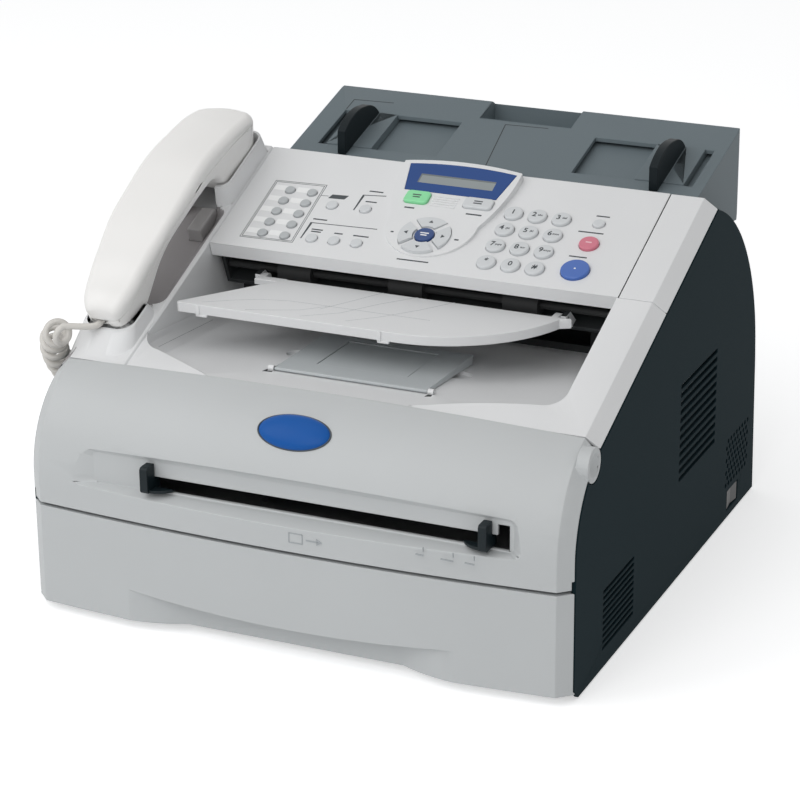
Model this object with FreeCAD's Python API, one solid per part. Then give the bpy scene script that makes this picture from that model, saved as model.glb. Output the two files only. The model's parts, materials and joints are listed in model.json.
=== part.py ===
import FreeCAD, Part
import math
import os

V = FreeCAD.Vector

# A desktop laser fax machine with a corded handset, in millimetres.
# X is to the right, Y to the back, Z up. The origin is on the ground under the middle of the machine.

# Body: a bowed light front that rolls over into a sloping top, between dark side covers
HALF_WIDTH = 184.0
FRONT_MID_Y = -188.5
FRONT_BOW = 8.3
SIDE_FRONT_Y = FRONT_MID_Y + FRONT_BOW
FRONT_ARC = 71.5
SLOPE_DEG = 21.574
SLOPE_Y = -135.0
SLOPE_Z = 157.8
SLOPE_END_S = 232.2
CHAMFER_X = 175.0
CHAMFER_INSET = 8.5
WALL = 3.0
GAP = 0.4
SIDE_PLATE = 2.8
SIDE_INNER_X = HALF_WIDTH - SIDE_PLATE
BODY_BOTTOM_Z = 1.5

# Seams
TRAY_BOTTOM_Z = 6.3
TRAY_TOP_Z = 73.4
COVER_BOTTOM_Z = 75.6
COVER_SEAM_Y = -135.4
COVER_AXIS = (-184.0, 80.5)
CRADLE_RIGHT_X = -134.8
PANEL_LEFT_X = -134.3
PANEL_RIGHT_X = 152.3
PANEL_FRONT_S = 126.2
PANEL_THICK = 3.0

# Rear outline of the dark body, as (y, z)
REAR_BOTTOM = (184.3, BODY_BOTTOM_Z)
REAR_KNEE = (179.3, 109.0)
REAR_SHOULDER = (165.3, 162.0)
REAR_UPPER = (126.3, 211.5)
REAR_CREST = (106.0, 225.4)
REAR_TOP = (84.3, 235.3)

# Chassis
PLATE_X = (168.0, 172.0)
TRAY_HALF = 160.0
TRAY_BACK_Y = 118.0
DECK_FRONT_Z = 159.4
DECK_DEG = 5.0
DECK_BACK_Y = 30.0
DECK_THICK = 5.0

# Key places on the panel, as x and distance up the slope s
KEYPAD_X = (57.7, 74.3, 91.0)
KEYPAD_S = (192.3, 175.5, 158.6, 141.6)
ONE_TOUCH_X = (-102.1, -85.8)
ONE_TOUCH_S = (188.4, 176.9, 165.4, 153.9, 142.1)
ROUND_KEYS = (
    (-66.9, 178.4),
    (-42.7, 178.7),
    (-66.6, 143.1),
    (-50.7, 143.4),
    (-34.6, 143.7),
    (116.5, 192.9),
)
DIGIT_RADIUS = 6.3
KEY_PROUD = 2.2
KEY_CLEAR = 0.35
NAV = (8.5, 158.0)
NAV_OUTER = 17.6
NAV_INNER = 8.2
HUB_RADIUS = 6.8
DOME_X = 9.4
DOME_LOW_S = 140.0
DOME_LOW_H = 1.2
DOME_RISE = 4.8 / 98.0

# Document support
SUPPORT_X = (-126.5, 168.0)
SUPPORT_FRONT = (88.3, 240.0)
SUPPORT_TAN = 0.2577
SUPPORT_BACK_Y = 188.4
WINDOW_Y = (101.0, 147.0)
WINDOW_LEFT_X = (-110.0, -22.0)
WINDOW_RIGHT_X = (76.0, 160.0)

# Handset and its curly cord
HANDSET_X = -158.7
CORD_RADIUS = 2.2
CURL_RADIUS = 7.3
CURL_TURNS = 36
CURL_LOOSEN = 1.2
CURL_PHASE = 0.5
CURL_LEAD = 28.0
CURL_TAIL = 6.0
CURL_SKIP = 1
JACK = (-SIDE_INNER_X - SIDE_PLATE, 84.0, 100.0)

SIN = math.sin(math.radians(SLOPE_DEG))
COS = math.cos(math.radians(SLOPE_DEG))
TAN = SIN / COS
ARC_Z = SLOPE_Z - FRONT_ARC * COS
SLOPE = FreeCAD.Placement(V(0, SLOPE_Y, SLOPE_Z), FreeCAD.Rotation(V(1, 0, 0), SLOPE_DEG))

PARTS = {}


# Shape helpers


def box(x, y, z):
    return Part.makeBox(x[1] - x[0], y[1] - y[0], z[1] - z[0], V(x[0], y[0], z[0]))


def face(plane, start, *steps):
    """A flat face from start round its steps: a step is a point, or (middle, end) for an arc."""
    edges = []
    here = start
    for step in steps + (start,):
        if isinstance(step[0], tuple):
            middle, end = step
            edges.append(Part.Arc(plane(*here), plane(*middle), plane(*end)).toShape())
        elif step == here:
            continue
        else:
            end = step
            edges.append(Part.LineSegment(plane(*here), plane(*end)).toShape())
        here = end
    return Part.Face(Part.Wire(edges))


def along_x(x, *outline):
    return face(lambda y, z: V(x[0], y, z), *outline).extrude(V(x[1] - x[0], 0, 0))


def along_y(y, *outline):
    return face(lambda x, z: V(x, y[0], z), *outline).extrude(V(0, y[1] - y[0], 0))


def along_z(z, *outline):
    return face(lambda x, y: V(x, y, z[0]), *outline).extrude(V(0, 0, z[1] - z[0]))


def rounded(a, b, r):
    """Outline steps of a rectangle with round corners."""
    k = r * (1 - math.sqrt(0.5))
    (a0, a1), (b0, b1) = a, b
    return [
        (a0 + r, b0),
        (a1 - r, b0),
        ((a1 - k, b0 + k), (a1, b0 + r)),
        (a1, b1 - r),
        ((a1 - k, b1 - k), (a1 - r, b1)),
        (a0 + r, b1),
        ((a0 + k, b1 - k), (a0, b1 - r)),
        (a0, b0 + r),
        ((a0 + k, b0 + k), (a0 + r, b0)),
    ]


def wire(plane, *outline):
    return face(plane, *outline).OuterWire


def disc(radius, centre, axis, length):
    return Part.makeCylinder(radius, length, V(*centre), V(*axis))


def fuse(first, *rest):
    return first.multiFuse(list(rest)).removeSplitter()


def cut(shape, *tools):
    return shape.cut(list(tools))


def tilt(shape):
    """Takes a shape drawn as (x, s, h) on the sloping top to its place on the machine."""
    placed = shape.copy()
    placed.Placement = SLOPE.multiply(placed.Placement)
    return placed


def slope_point(x, s, h):
    return V(x, SLOPE_Y + s * COS - h * SIN, SLOPE_Z + s * SIN + h * COS)


def soften(shape, radius, pick):
    """Rounds the edges that pick chooses by their middle point."""
    edges = [e for e in shape.Edges if pick(e.CenterOfMass)]
    return shape.makeFillet(radius, edges)


def keep(name, shape):
    PARTS[name] = shape


# The light envelope of the front and top


def envelope_wire(x, forward, inset):
    y_front = SIDE_FRONT_Y - forward + inset
    y_centre = SIDE_FRONT_Y - forward + FRONT_ARC
    r = FRONT_ARC - inset
    half_turn = math.radians(180 - (90 - SLOPE_DEG) / 2)
    middle = (y_centre + r * math.cos(half_turn), ARC_Z + r * math.sin(half_turn))
    top = (y_centre - r * SIN, ARC_Z + r * COS)
    y_end = 60.0
    end = (y_end, top[1] + (y_end - top[0]) * TAN)
    plane = lambda y, z: V(x, y, z)
    return wire(plane, (y_front, 0.0), (y_front, ARC_Z), (middle, top), end, (y_end, 0.0))


def envelope(inset):
    """The whole light outer form, drawn in by inset on every side."""
    x_break = CHAMFER_X - 0.4 * inset
    end_inset = CHAMFER_INSET + 1.38 * inset
    sides = [envelope_wire(sign * x_break, 0.0, inset) for sign in (-1, 1)]
    middle = Part.makeLoft([sides[0], envelope_wire(0, FRONT_BOW, inset), sides[1]], True, False)
    ends = [
        Part.makeLoft([sides[i], envelope_wire(sign * HALF_WIDTH, 0.0, end_inset)], True, True)
        for i, sign in enumerate((-1, 1))
    ]
    return middle.multiFuse(ends)


def side_outline(inset):
    """Outline of the dark side cover in (y, z), drawn in by inset at the front and top."""
    r = FRONT_ARC - inset
    y_centre = SIDE_FRONT_Y + FRONT_ARC
    y_front = SIDE_FRONT_Y + inset
    half_turn = math.radians(180 - (90 - SLOPE_DEG) / 2)
    middle = (y_centre + r * math.cos(half_turn), ARC_Z + r * math.sin(half_turn))
    tangent = (y_centre - r * SIN, ARC_Z + r * COS)
    top = (REAR_TOP[0], tangent[1] + (REAR_TOP[0] - tangent[0]) * TAN)
    return [
        (y_front + 7.0, BODY_BOTTOM_Z),
        REAR_BOTTOM,
        REAR_KNEE,
        (REAR_SHOULDER, REAR_UPPER),
        (REAR_CREST, REAR_TOP),
        top,
        tangent,
        (middle, (y_front, ARC_Z)),
        (y_front, BODY_BOTTOM_Z + 7.0),
    ]


def side_clearance():
    """Room for the dark side covers, cut from the light covers at both ends."""
    outline = side_outline(CHAMFER_INSET - GAP)
    reach = (SIDE_INNER_X - GAP, HALF_WIDTH + 6)
    return [along_x(reach, *outline), along_x((-reach[1], -reach[0]), *outline)]


LIGHT = envelope(0.0)
LIGHT_INNER = envelope(WALL)
SIDE_ROOM = side_clearance()


# Front cover with the manual feed pocket

LOBE = (-143.0, 144.2)
LOBE_RADIUS = 11.0
POCKET_FRONT = ((-171.0, 164.0), (91.5, 128.0))
POCKET_FLOOR = ((-137.0, 147.0), (95.0, 115.5))
POCKET_Y = (-190.0, -177.0)
SLOT_X = (-100.0, 144.0)
SLOT_Z = (96.0, 105.0)


def pocket(grow):
    (fx, fz), (bx, bz) = POCKET_FRONT, POCKET_FLOOR
    front = rounded((fx[0] - grow, fx[1] + grow), (fz[0] - grow, fz[1] + grow), 9.0)
    back = rounded((bx[0] - grow, bx[1] + grow), (bz[0] - grow, bz[1] + grow), 4.0)
    wires = [
        wire(lambda x, z: V(x, POCKET_Y[0], z), *front),
        wire(lambda x, z: V(x, POCKET_Y[1] + grow, z), *back),
    ]
    return Part.makeLoft(wires, True, True)


def front_cover():
    region = box((-200, 200), (-200, COVER_SEAM_Y), (COVER_BOTTOM_Z, 200))
    shell = LIGHT.cut(LIGHT_INNER).common(region)
    shell = cut(shell, *SIDE_ROOM)
    boss = pocket(2.6).common(envelope(0.8))
    lobe = disc(LOBE_RADIUS, (176.0, *LOBE), (1, 0, 0), HALF_WIDTH - 176.0)
    dish = Part.makeSphere(12.0, V(193.0, *LOBE))
    slot = box(SLOT_X, (-182, -168), SLOT_Z)
    slot_end = box((136.5, SLOT_X[1]), (-182, -168), (SLOT_Z[0], 112.0))
    whole = fuse(shell, boss, lobe)
    swing = [box(x, (-173.3, -160.0), (70.0, 81.0)) for x in ((180.4, 190.0), (-190.0, -180.4))]
    return cut(whole, pocket(0.0), slot, slot_end, dish, *swing)


def badge():
    """A bare oval plate on the roll of the cover."""
    y_centre = FRONT_MID_Y + FRONT_ARC
    lean = 42.0
    up = V(0, -math.sin(math.radians(lean)), math.cos(math.radians(lean)))
    centre = V(-1.8, y_centre, ARC_Z) + up * FRONT_ARC
    oval = Part.makeSphere(100.0)
    matrix = FreeCAD.Matrix()
    matrix.scale(0.24, 0.118, 0.05)
    oval = oval.transformGeometry(matrix)
    oval.Placement = FreeCAD.Placement(centre - up * 0.6, FreeCAD.Rotation(V(1, 0, 0), lean))
    return oval


def feed_guide(side):
    """A fin that stands in the pocket and runs along the slot, with a half round foot."""
    inner = -92.5 if side < 0 else 128.0
    fin = box(tuple(sorted((inner, inner + side * 5.5))), (-188.0, -178.0), (97.0, 114.4))
    fin = soften(fin, 2.5, lambda c: c.y < -187.9 and abs(c.z - 105.7) > 5)
    stem = box(tuple(sorted((inner, inner + side * 5.5))), (-180.0, -171.0), (97.0, 104.2))
    foot = disc(15.0, (inner, -170.5, 97.0), (0, 0, 1), 2.0)
    foot = foot.common(box(tuple(sorted((inner + side * 0.5, inner - side * 18))), (-195, -178), (90, 120)))
    return fuse(fin, stem, foot)


COVER_RAW = front_cover()
GUIDES = {"left_feed_guide": feed_guide(-1), "right_feed_guide": feed_guide(1)}
BADGE = badge()
keep("front_cover", COVER_RAW.cut(BADGE))
keep("front_badge", BADGE)
for guide_name, guide in GUIDES.items():
    keep(guide_name, guide)


# Paper tray with its arched front, and the lift plate inside

ARCH_Z = (32.0, 22.2)
ARCH_HALF = 149.0
FOOT_BACK_Y = -175.8
LIFT_AXIS = (20.0, 14.0)


def tray_undercut():
    below = along_y(
        (-200, -160),
        (-ARCH_HALF, 0.0),
        (-ARCH_HALF, ARCH_Z[0]),
        ((0.0, ARCH_Z[1]), (ARCH_HALF, ARCH_Z[0])),
        (ARCH_HALF, 0.0),
    )
    ahead = along_z(
        (0, 60),
        (-128.0, -200.0),
        (-128.0, -185.1),
        ((-98.0, -183.4), (-74.0, FOOT_BACK_Y)),
        (74.0, FOOT_BACK_Y),
        ((98.0, -183.4), (128.0, -185.1)),
        (128.0, -200.0),
    )
    return below.common(ahead)


def paper_tray():
    front = LIGHT.common(box((-200, 200), (-200, -168), (TRAY_BOTTOM_Z, TRAY_TOP_Z)))
    front = cut(front, *SIDE_ROOM, tray_undercut(), box((-150, 150), (-178, -160), (38, 69)))
    outer = box((-TRAY_HALF, TRAY_HALF), (-170, TRAY_BACK_Y), (8, 62))
    inner = box((-TRAY_HALF + 2.5, TRAY_HALF - 2.5), (-166, TRAY_BACK_Y - 2.5), (10.5, 80))
    lugs = [box((s * 118 - 4, s * 118 + 4), (LIFT_AXIS[0] - 4, LIFT_AXIS[0] + 4), (9, 20)) for s in (-1, 1)]
    hole = disc(2.06, (-130, *LIFT_AXIS), (1, 0, 0), 260)
    return cut(fuse(front, outer.cut(inner), *lugs), hole)


def lift_plate():
    plate = box((-112, 112), (-158, LIFT_AXIS[0]), (12.6, 14.2))
    rod = disc(2.0, (-121.5, *LIFT_AXIS), (1, 0, 0), 243)
    return fuse(plate, rod)


keep("paper_tray", paper_tray())
keep("tray_lift_plate", lift_plate())


# Chassis frame that carries everything

PICKUP = (-115.0, 92.0)


def chassis():
    outline = [(-158, 4), (158, 4), (158, 140), (100, 180), (40, 180), (-110, 128), (-158, 105)]
    plates = [along_x((s * 170 - 2, s * 170 + 2), *outline) for s in (-1, 1)]
    floor = box((-169, 169), (-150, 157), (78, 81)).cut(box((-40, 70), (-136, -94), (70, 90)))
    back = box((-169, 169), (154, 158), (4, 140)).cut(box((-100, 100), (150, 160), (88, 138)))
    rails = [box(tuple(sorted((s * 169, s * 150))), (-150, 156), (4, 6.5)) for s in (-1, 1)]
    back = back.cut(box((117, 147), (150, 160), (33, 55)))
    bearings = disc(3.06, (-180, *PICKUP), (1, 0, 0), 360)
    feet = [disc(5.05, (x, y, 0), (0, 0, 1), 5.5) for x, y in FEET]
    return cut(fuse(plates[0], plates[1], floor, back, *rails), bearings, *feet)


FEET = [(x, y) for x in (-159.0, 159.0) for y in (-140.0, 145.0)]


def rubber_feet():
    pads = []
    for x, y in FEET:
        stem = disc(4.8, (x, y, 2.0), (0, 0, 1), 3.4)
        pad = soften(disc(8.5, (x, y, 0.0), (0, 0, 1), 4.0), 0.8, lambda c: c.z < 0.1)
        pads.append(fuse(pad, stem))
    return Part.makeCompound(pads)


keep("chassis_frame", chassis())
keep("rubber_feet", rubber_feet())


# Dark side covers with louvres, loudspeaker grille and switch opening

UPPER_VENT = ((17.5, 92.0), (69.0, 139.0), 12)
LOWER_VENT = ((-123.0, -67.5), (13.0, 55.0), 10)
GRILLE_Y = (121.0, 167.0)
GRILLE_Z = (27.0, 59.0)
GRILLE_STEPS = 8
SWITCH = (136.5, 14.0)
BOSSES = ((-140.0, 100.0), (-30.0, 30.0), (60.0, 40.0), (148.0, 120.0))


def louvres(vent, x):
    (y0, y1), (z0, z1), count = vent
    pitch = (z1 - z0) / count
    slots = []
    for i in range(count):
        z = z0 + (i + 0.22) * pitch
        slots.append(along_x(x, *rounded((y0, y1), (z, z + 0.5 * pitch), 0.22 * pitch)))
    return slots


def grille_holes(x):
    holes = []
    for i in range(GRILLE_STEPS):
        for j in range(GRILLE_STEPS):
            y = GRILLE_Y[0] + (GRILLE_Y[1] - GRILLE_Y[0]) * (i + 0.5 * (j % 2)) / (GRILLE_STEPS - 0.5)
            z = GRILLE_Z[0] + (GRILLE_Z[1] - GRILLE_Z[0]) * j / (GRILLE_STEPS - 1)
            holes.append(disc(1.5, (x[0], y, z), (1, 0, 0), x[1] - x[0]))
    return holes


def side_cover(side):
    near, far = sorted((side * SIDE_INNER_X, side * HALF_WIDTH))
    plate = along_x((near, far), *side_outline(CHAMFER_INSET))
    start = side * PLATE_X[1]
    bosses = [disc(6.0, (start, y, z), (side, 0, 0), SIDE_INNER_X - PLATE_X[1] + 1) for y, z in BOSSES]
    cover = fuse(plate, *bosses)
    through = (near - 1, far + 1)
    tools = louvres(LOWER_VENT, through) + louvres(UPPER_VENT, through)
    if side > 0:
        tools += grille_holes(through)
        tools.append(box(through, (SWITCH[0] - 12, SWITCH[0] + 12), (SWITCH[1] - 7, SWITCH[1] + 7)))
        for swing in (0.0, 1.5, 3.0, 4.5, 6.0):
            notch = disc(LOBE_RADIUS + 0.6, (near - 1, *LOBE), (1, 0, 0), 6)
            notch.rotate(V(0, *COVER_AXIS), V(1, 0, 0), swing)
            tools.append(notch)
    else:
        tools.append(box(through, (JACK[1] - 6, JACK[1] + 6), (JACK[2] - 5, JACK[2] + 5)))
    return cut(cover, *tools)


def power_switch():
    """A rocker that tips about an upright pin in the side cover."""
    y, z = SWITCH
    half = 10.8
    low = SIDE_INNER_X - 3.0
    key = along_z(
        (z - 6.4, z + 6.4),
        (HALF_WIDTH - 0.3, y - half),
        (HALF_WIDTH - 1.4, y),
        (HALF_WIDTH - 0.3, y + half),
        (low + 1.0, y + half),
        (low - 2.0, y),
        (low + 1.0, y - half),
    )
    return key


keep("right_side_cover", side_cover(1))
keep("left_side_cover", side_cover(-1))
keep("power_switch", power_switch())


# Rear cover and rear door

DOOR_X = (-115.0, 115.0)
DOOR_Z = (66.0, 148.5)
DOOR_AXIS = (181.6, 66.0)
SCREWS = [(x, z) for x in (-150.0, 150.0) for z in (20.0, 100.0)]
INLET_X = (118.0, 146.0)
INLET_Z = (34.0, 54.0)


def rear_shell():
    inner = [
        (181.3, BODY_BOTTOM_Z),
        (176.3, 108.6),
        ((162.5, 160.7), (124.5, 209.1)),
        ((104.5, 222.8), (84.3, 232.2)),
    ]
    return along_x(
        (-SIDE_INNER_X + GAP, SIDE_INNER_X - GAP),
        REAR_BOTTOM,
        REAR_KNEE,
        (REAR_SHOULDER, REAR_UPPER),
        (REAR_CREST, REAR_TOP),
        inner[3][1],
        (inner[3][0], inner[2][1]),
        (inner[2][0], inner[1]),
        inner[0],
    )


def rear_cover():
    gap = 0.5
    doorway = box((DOOR_X[0] - gap, DOOR_X[1] + gap), (150, 190), (DOOR_Z[0] - gap, DOOR_Z[1] + 1.5))
    inlet = box(INLET_X, (170, 190), INLET_Z)
    posts = [disc(5.0, (x, 158.0, z), (0, 1, 0), 24.0) for x, z in SCREWS]
    room = disc(1.6, (0, 0, 0), (0, 1, 0), 30.0)
    holes = []
    for x, z in SCREWS:
        hole = room.copy()
        hole.translate(V(x, 165.0, z))
        holes.append(hole)
    outside = along_x((-190, 190), REAR_BOTTOM, REAR_KNEE, (210.0, 109.0), (210.0, BODY_BOTTOM_Z))
    shell = fuse(rear_shell(), *[post.cut(outside) for post in posts])
    return cut(shell, doorway, inlet, *holes)


def rear_door():
    return rear_shell().common(box(DOOR_X, (150, 190), DOOR_Z))


def cover_screws():
    """Pan head screws that hold the rear cover."""
    screws = []
    for x, z in SCREWS:
        rise = (z - BODY_BOTTOM_Z) / (REAR_KNEE[1] - BODY_BOTTOM_Z)
        y = REAR_BOTTOM[0] + (REAR_KNEE[0] - REAR_BOTTOM[0]) * rise
        shank = disc(1.6, (x, y - 14.0, z), (0, 1, 0), 14.5)
        head = disc(3.2, (x, y + 0.15, z), (0, 1, 0), 1.6)
        screws.append(fuse(shank, head))
    return Part.makeCompound(screws)


keep("rear_cover", rear_cover())
keep("rear_door", rear_door())
keep("cover_screws", cover_screws())


# Top deck: the sloping right strip, the sunk deck for printed sheets and its back wall

DECK_RIGHT_X = 151.5
DECK_TAN = math.tan(math.radians(DECK_DEG))
DECK_FRONT_Y = -134.9
FLAP_X = (-44.6, 59.9)
FLAP_Y = (-103.5, -30.0)
FLAP_FRONT_Z = 159.35
FLAP_TAN = math.tan(math.radians(2.0))
FLAP_THICK = 2.2
FLAP_AXIS_DROP = 1.1
COVE = 11.0


def deck_z(y):
    return DECK_FRONT_Z - (y - DECK_FRONT_Y) * DECK_TAN


def deck_slab(x, y, high, low):
    """A slab parallel to the sunk deck, between two heights above it."""
    return along_x(
        x,
        (y[0], deck_z(y[0]) + low),
        (y[1], deck_z(y[1]) + low),
        (y[1], deck_z(y[1]) + high),
        (y[0], deck_z(y[0]) + high),
    )


def flap_z(y):
    return FLAP_FRONT_Z - (y - FLAP_Y[0]) * FLAP_TAN


def flap_slab(x, y, high, low):
    """A slab parallel to the flap, between two heights above its top."""
    return along_x(
        x,
        (y[0], flap_z(y[0]) + low),
        (y[1], flap_z(y[1]) + low),
        (y[1], flap_z(y[1]) + high),
        (y[0], flap_z(y[0]) + high),
    )


def deck_plan(z, grow):
    """The sunk area seen from above; its front corners are round and its front fades to the seam."""
    left = CRADLE_RIGHT_X + GAP
    right = DECK_RIGHT_X + grow
    front = -115.0 - grow
    return along_z(
        z,
        (left, DECK_BACK_Y + grow),
        (right, DECK_BACK_Y + grow),
        (right, front + 13.0),
        ((right - 3.8, front + 3.8), (right - 13.0, front)),
        ((100.0, front - 6.0), (50.0, DECK_FRONT_Y - grow)),
        (-70.0, DECK_FRONT_Y - grow),
        ((-100.0, front - 9.0), (left + 14.0, front - 2.0)),
        ((left + 3.8, front + 3.2), (left, front + 15.0)),
    )


def below_slope(h, s):
    """Everything under the sloping top by h, between two distances up the slope."""
    return tilt(box((-190, 190), s, (-160, h)))


def strip(x_left, s):
    """Sloping strip with the edge chamfer that meets the dark side cover."""
    edge = HALF_WIDTH - GAP
    drop = CHAMFER_INSET - GAP
    inner = SIDE_INNER_X - GAP
    return tilt(
        along_y(
            s,
            (x_left, 0.0),
            (CHAMFER_X, 0.0),
            (edge, -drop),
            (inner, -drop),
            (CHAMFER_X - 1.2, -WALL),
            (x_left, -WALL),
        )
    )


def top_deck():
    s_end = PANEL_FRONT_S - GAP
    ahead = box((-200, 200), (DECK_FRONT_Y, 60), (100, 260))
    sunk = deck_plan((100, 260), 0.0)
    ring = deck_plan((100, 260), WALL).cut(sunk).common(ahead)
    ring = ring.common(below_slope(-0.05, (-40, s_end))).cut(box((-200, 200), (-15, 60), (169.5, 260)))
    under = deck_slab((-200, 200), (-150, 60), -DECK_THICK, -60)
    floor_x = (CRADLE_RIGHT_X + GAP, DECK_RIGHT_X + 1)
    floor = deck_slab(floor_x, (DECK_FRONT_Y, DECK_BACK_Y + 1), 0.0, -DECK_THICK)
    floor = floor.common(deck_plan((100, 260), 1.0))
    right = strip(48.0, (0.3, s_end)).cut(sunk).common(ahead)
    left = tilt(box((floor_x[0], -60.0), (0.3, 40.0), (-WALL, 0.0))).cut(sunk).common(ahead)
    back = box((CRADLE_RIGHT_X + GAP, DECK_RIGHT_X + WALL), (DECK_BACK_Y, DECK_BACK_Y + WALL), (138, 182))
    exit_slot = box((-100, 117), (20, 40), (150, 168))
    thumbs = []
    for x, y in ((FLAP_X[0] - 4.0, -61.0), (FLAP_X[1] + 1.0, -56.0)):
        thumbs.append(disc(8.0, (x, y, deck_z(y) - 2.4), (0, DECK_TAN, 1), 20.0))
    rod_y = FLAP_Y[0]
    rod_z = FLAP_FRONT_Z - FLAP_AXIS_DROP
    lugs = []
    for x in (FLAP_X[0] - 4.5, FLAP_X[1] + 0.5):
        lugs.append(disc(2.0, (x, rod_y, rod_z), (1, 0, 0), 4.0))
    rod_holes = disc(1.06, (FLAP_X[0] - 5, rod_y, rod_z), (1, 0, 0), 120)
    cove_x = (CRADLE_RIGHT_X + GAP, CRADLE_RIGHT_X + GAP + COVE)
    cove_end = DECK_BACK_Y + 1.0
    cove = deck_slab(cove_x, (DECK_FRONT_Y, cove_end), COVE, -1.0)
    hollow_y = DECK_FRONT_Y - 20.0
    hollow = disc(COVE, (cove_x[1], hollow_y, deck_z(hollow_y) + COVE), (0, 1, -DECK_TAN), 220.0)
    cove = cove.cut(hollow).common(below_slope(-0.05, (-40, s_end)))
    cove = cove.cut(box((-200, 200), (-15, 60), (169.5, 260)))
    deck = fuse(right, left, ring.cut(under), floor, back, cove)
    deck = fuse(cut(deck, exit_slot, *thumbs), *lugs)
    return deck.cut(rod_holes)


def output_flap():
    """Flap that lies on the deck on a rod along its front edge, with a bay for its extension."""
    y0, y1 = FLAP_Y
    width = FLAP_X[1] - FLAP_X[0]
    rod_z = FLAP_FRONT_Z - FLAP_AXIS_DROP
    plate = flap_slab(FLAP_X, (y0, y1), 0.0, -FLAP_THICK)
    bay = flap_slab((EXT_X[0] - 0.5, EXT_X[1] + 0.5), (EXT_Y[0] - 0.5, EXT_Y[1] + 2.0), 5, -5)
    rod = disc(1.1, (FLAP_X[0], y0, rod_z), (1, 0, 0), width)
    pins = disc(1.0, (FLAP_X[0] - 4, y0, rod_z), (1, 0, 0), width + 8)
    ribs = []
    for x in (FLAP_X[0], FLAP_X[1] - 2.0):
        foot = [(y, deck_z(y) + 0.4) for y in (-97.0, -31.0)]
        head = [(y, flap_z(y) - 2.0) for y in (-31.0, -97.0)]
        ribs.append(along_x((x, x + 2.0), *foot, *head))
    hole_end = (EXT_X[0] - 5, EXT_Y[1], flap_z(EXT_Y[1]) - 1.1)
    holes = disc(0.86, hole_end, (1, 0, 0), EXT_X[1] - EXT_X[0] + 10)
    return cut(fuse(plate.cut(bay), rod, pins, *ribs), holes)


EXT_X = (-23.0, 38.6)
EXT_Y = (-86.4, -40.0)


def flap_extension():
    y0, y1 = EXT_Y
    plate = flap_slab(EXT_X, (y0, y1 + 0.9), -0.3, -1.9)
    pins = disc(0.8, (EXT_X[0] - 4, y1, flap_z(y1) - 1.1), (1, 0, 0), EXT_X[1] - EXT_X[0] + 8)
    return fuse(plate, pins)


keep("top_deck", top_deck())
keep("output_flap", output_flap())
keep("output_flap_extension", flap_extension())


# Handset cradle, hook switch and handset, drawn on the slope

RAISED_FOOT = -7.0
COLLAR_TOP = 8.5
COLLAR_OUTER = ((-182.0, -135.4), (-7.0, 62.5))
COLLAR_RIM = ((-177.0, -140.3), (20.0, 57.0))
MOUTH_WELL = ((-175.7, -141.7), (22.9, 64.0))
MOUTH_FLOOR = ((-173.9, -143.5), (26.5, 64.0))
PLINTH_TOP = 14.0
PLINTH_OUTER = ((-182.2, -135.3), (160.0, 233.0))
PLINTH_RIM = ((-180.4, -137.4), (166.0, 230.2))
EAR_WELL = ((-178.7, -138.8), (168.2, 228.4))
EAR_FLOOR = ((-175.6, -141.8), (171.0, 224.0))
CUPS = ((44.0, 0.0), (199.0, -1.0))
HOOK_X = (-155.5, -145.5)
HOOK_S = (136.0, 160.0)


def taper(outer, inner, h_top, h_low, r_top, r_low):
    """A sunk well with sloping walls between two round cornered outlines."""
    wires = [
        wire(lambda x, s: V(x, s, h_top), *rounded(*outer, r_top)),
        wire(lambda x, s: V(x, s, h_low), *rounded(*inner, r_low)),
    ]
    return Part.makeLoft(wires, True, True)


def cradle():
    edge = -HALF_WIDTH + GAP
    drop = CHAMFER_INSET - GAP
    inner = -SIDE_INNER_X + GAP
    block = along_y(
        (0.4, 233.0),
        (edge, -drop),
        (-CHAMFER_X, 0.0),
        (CRADLE_RIGHT_X - 1.5, 0.0),
        (CRADLE_RIGHT_X, -1.5),
        (CRADLE_RIGHT_X, -24.0),
        (inner, -24.0),
        (inner, -drop),
    )
    wall_x = (CRADLE_RIGHT_X - 3, CRADLE_RIGHT_X)
    wall = along_y((0.4, 233.0), (wall_x[0], -20), (wall_x[1], -20), (wall_x[1], -90), (wall_x[0], -90))
    collar = taper(COLLAR_OUTER, COLLAR_RIM, RAISED_FOOT, COLLAR_TOP, 18.0, 12.0)
    plinth = taper(PLINTH_OUTER, PLINTH_RIM, RAISED_FOOT, PLINTH_TOP, 10.0, 9.0)
    trough_top = ((-180.0, -137.5), (60.0, 163.0))
    trough = taper(trough_top, ((-175.0, -146.0), (66.0, 158.0)), 0.01, -9.0, 8.0, 6.0)
    mouth = taper(MOUTH_WELL, MOUTH_FLOOR, 11.0, -3.0, 10.0, 9.0)
    ear = taper(EAR_WELL, EAR_FLOOR, PLINTH_TOP + 0.01, -14.0, 8.0, 6.0)
    link = box((-172.0, -146.0), (150.0, 176.0), (-9.0, 40.0))
    hollow = box((-177, CRADLE_RIGHT_X - 3), (3.4, 230), (-30, -17.5))
    hook_hole = box((HOOK_X[0] - 0.4, HOOK_X[1] + 0.4), (HOOK_S[0] - 0.4, HOOK_S[1] + 0.4), (-40, 5))
    pads = [disc(8.0, (HANDSET_X, s, -17.0), (0, 0, 1), 17.0 + top - 0.8) for s, top in CUPS]
    raised = fuse(block, wall, collar, plinth)
    whole = tilt(fuse(cut(raised, trough, mouth, ear, link, hollow, hook_hole), *pads))
    floor_cut = box((-200, 200), (-200, 200), (0, 143))
    seam = box((-200, 200), (-200, COVER_SEAM_Y + GAP), (100, 300))
    behind = box((-200, 200), (82.6, 200), (100, 300))
    return cut(whole, floor_cut, seam, behind)


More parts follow.
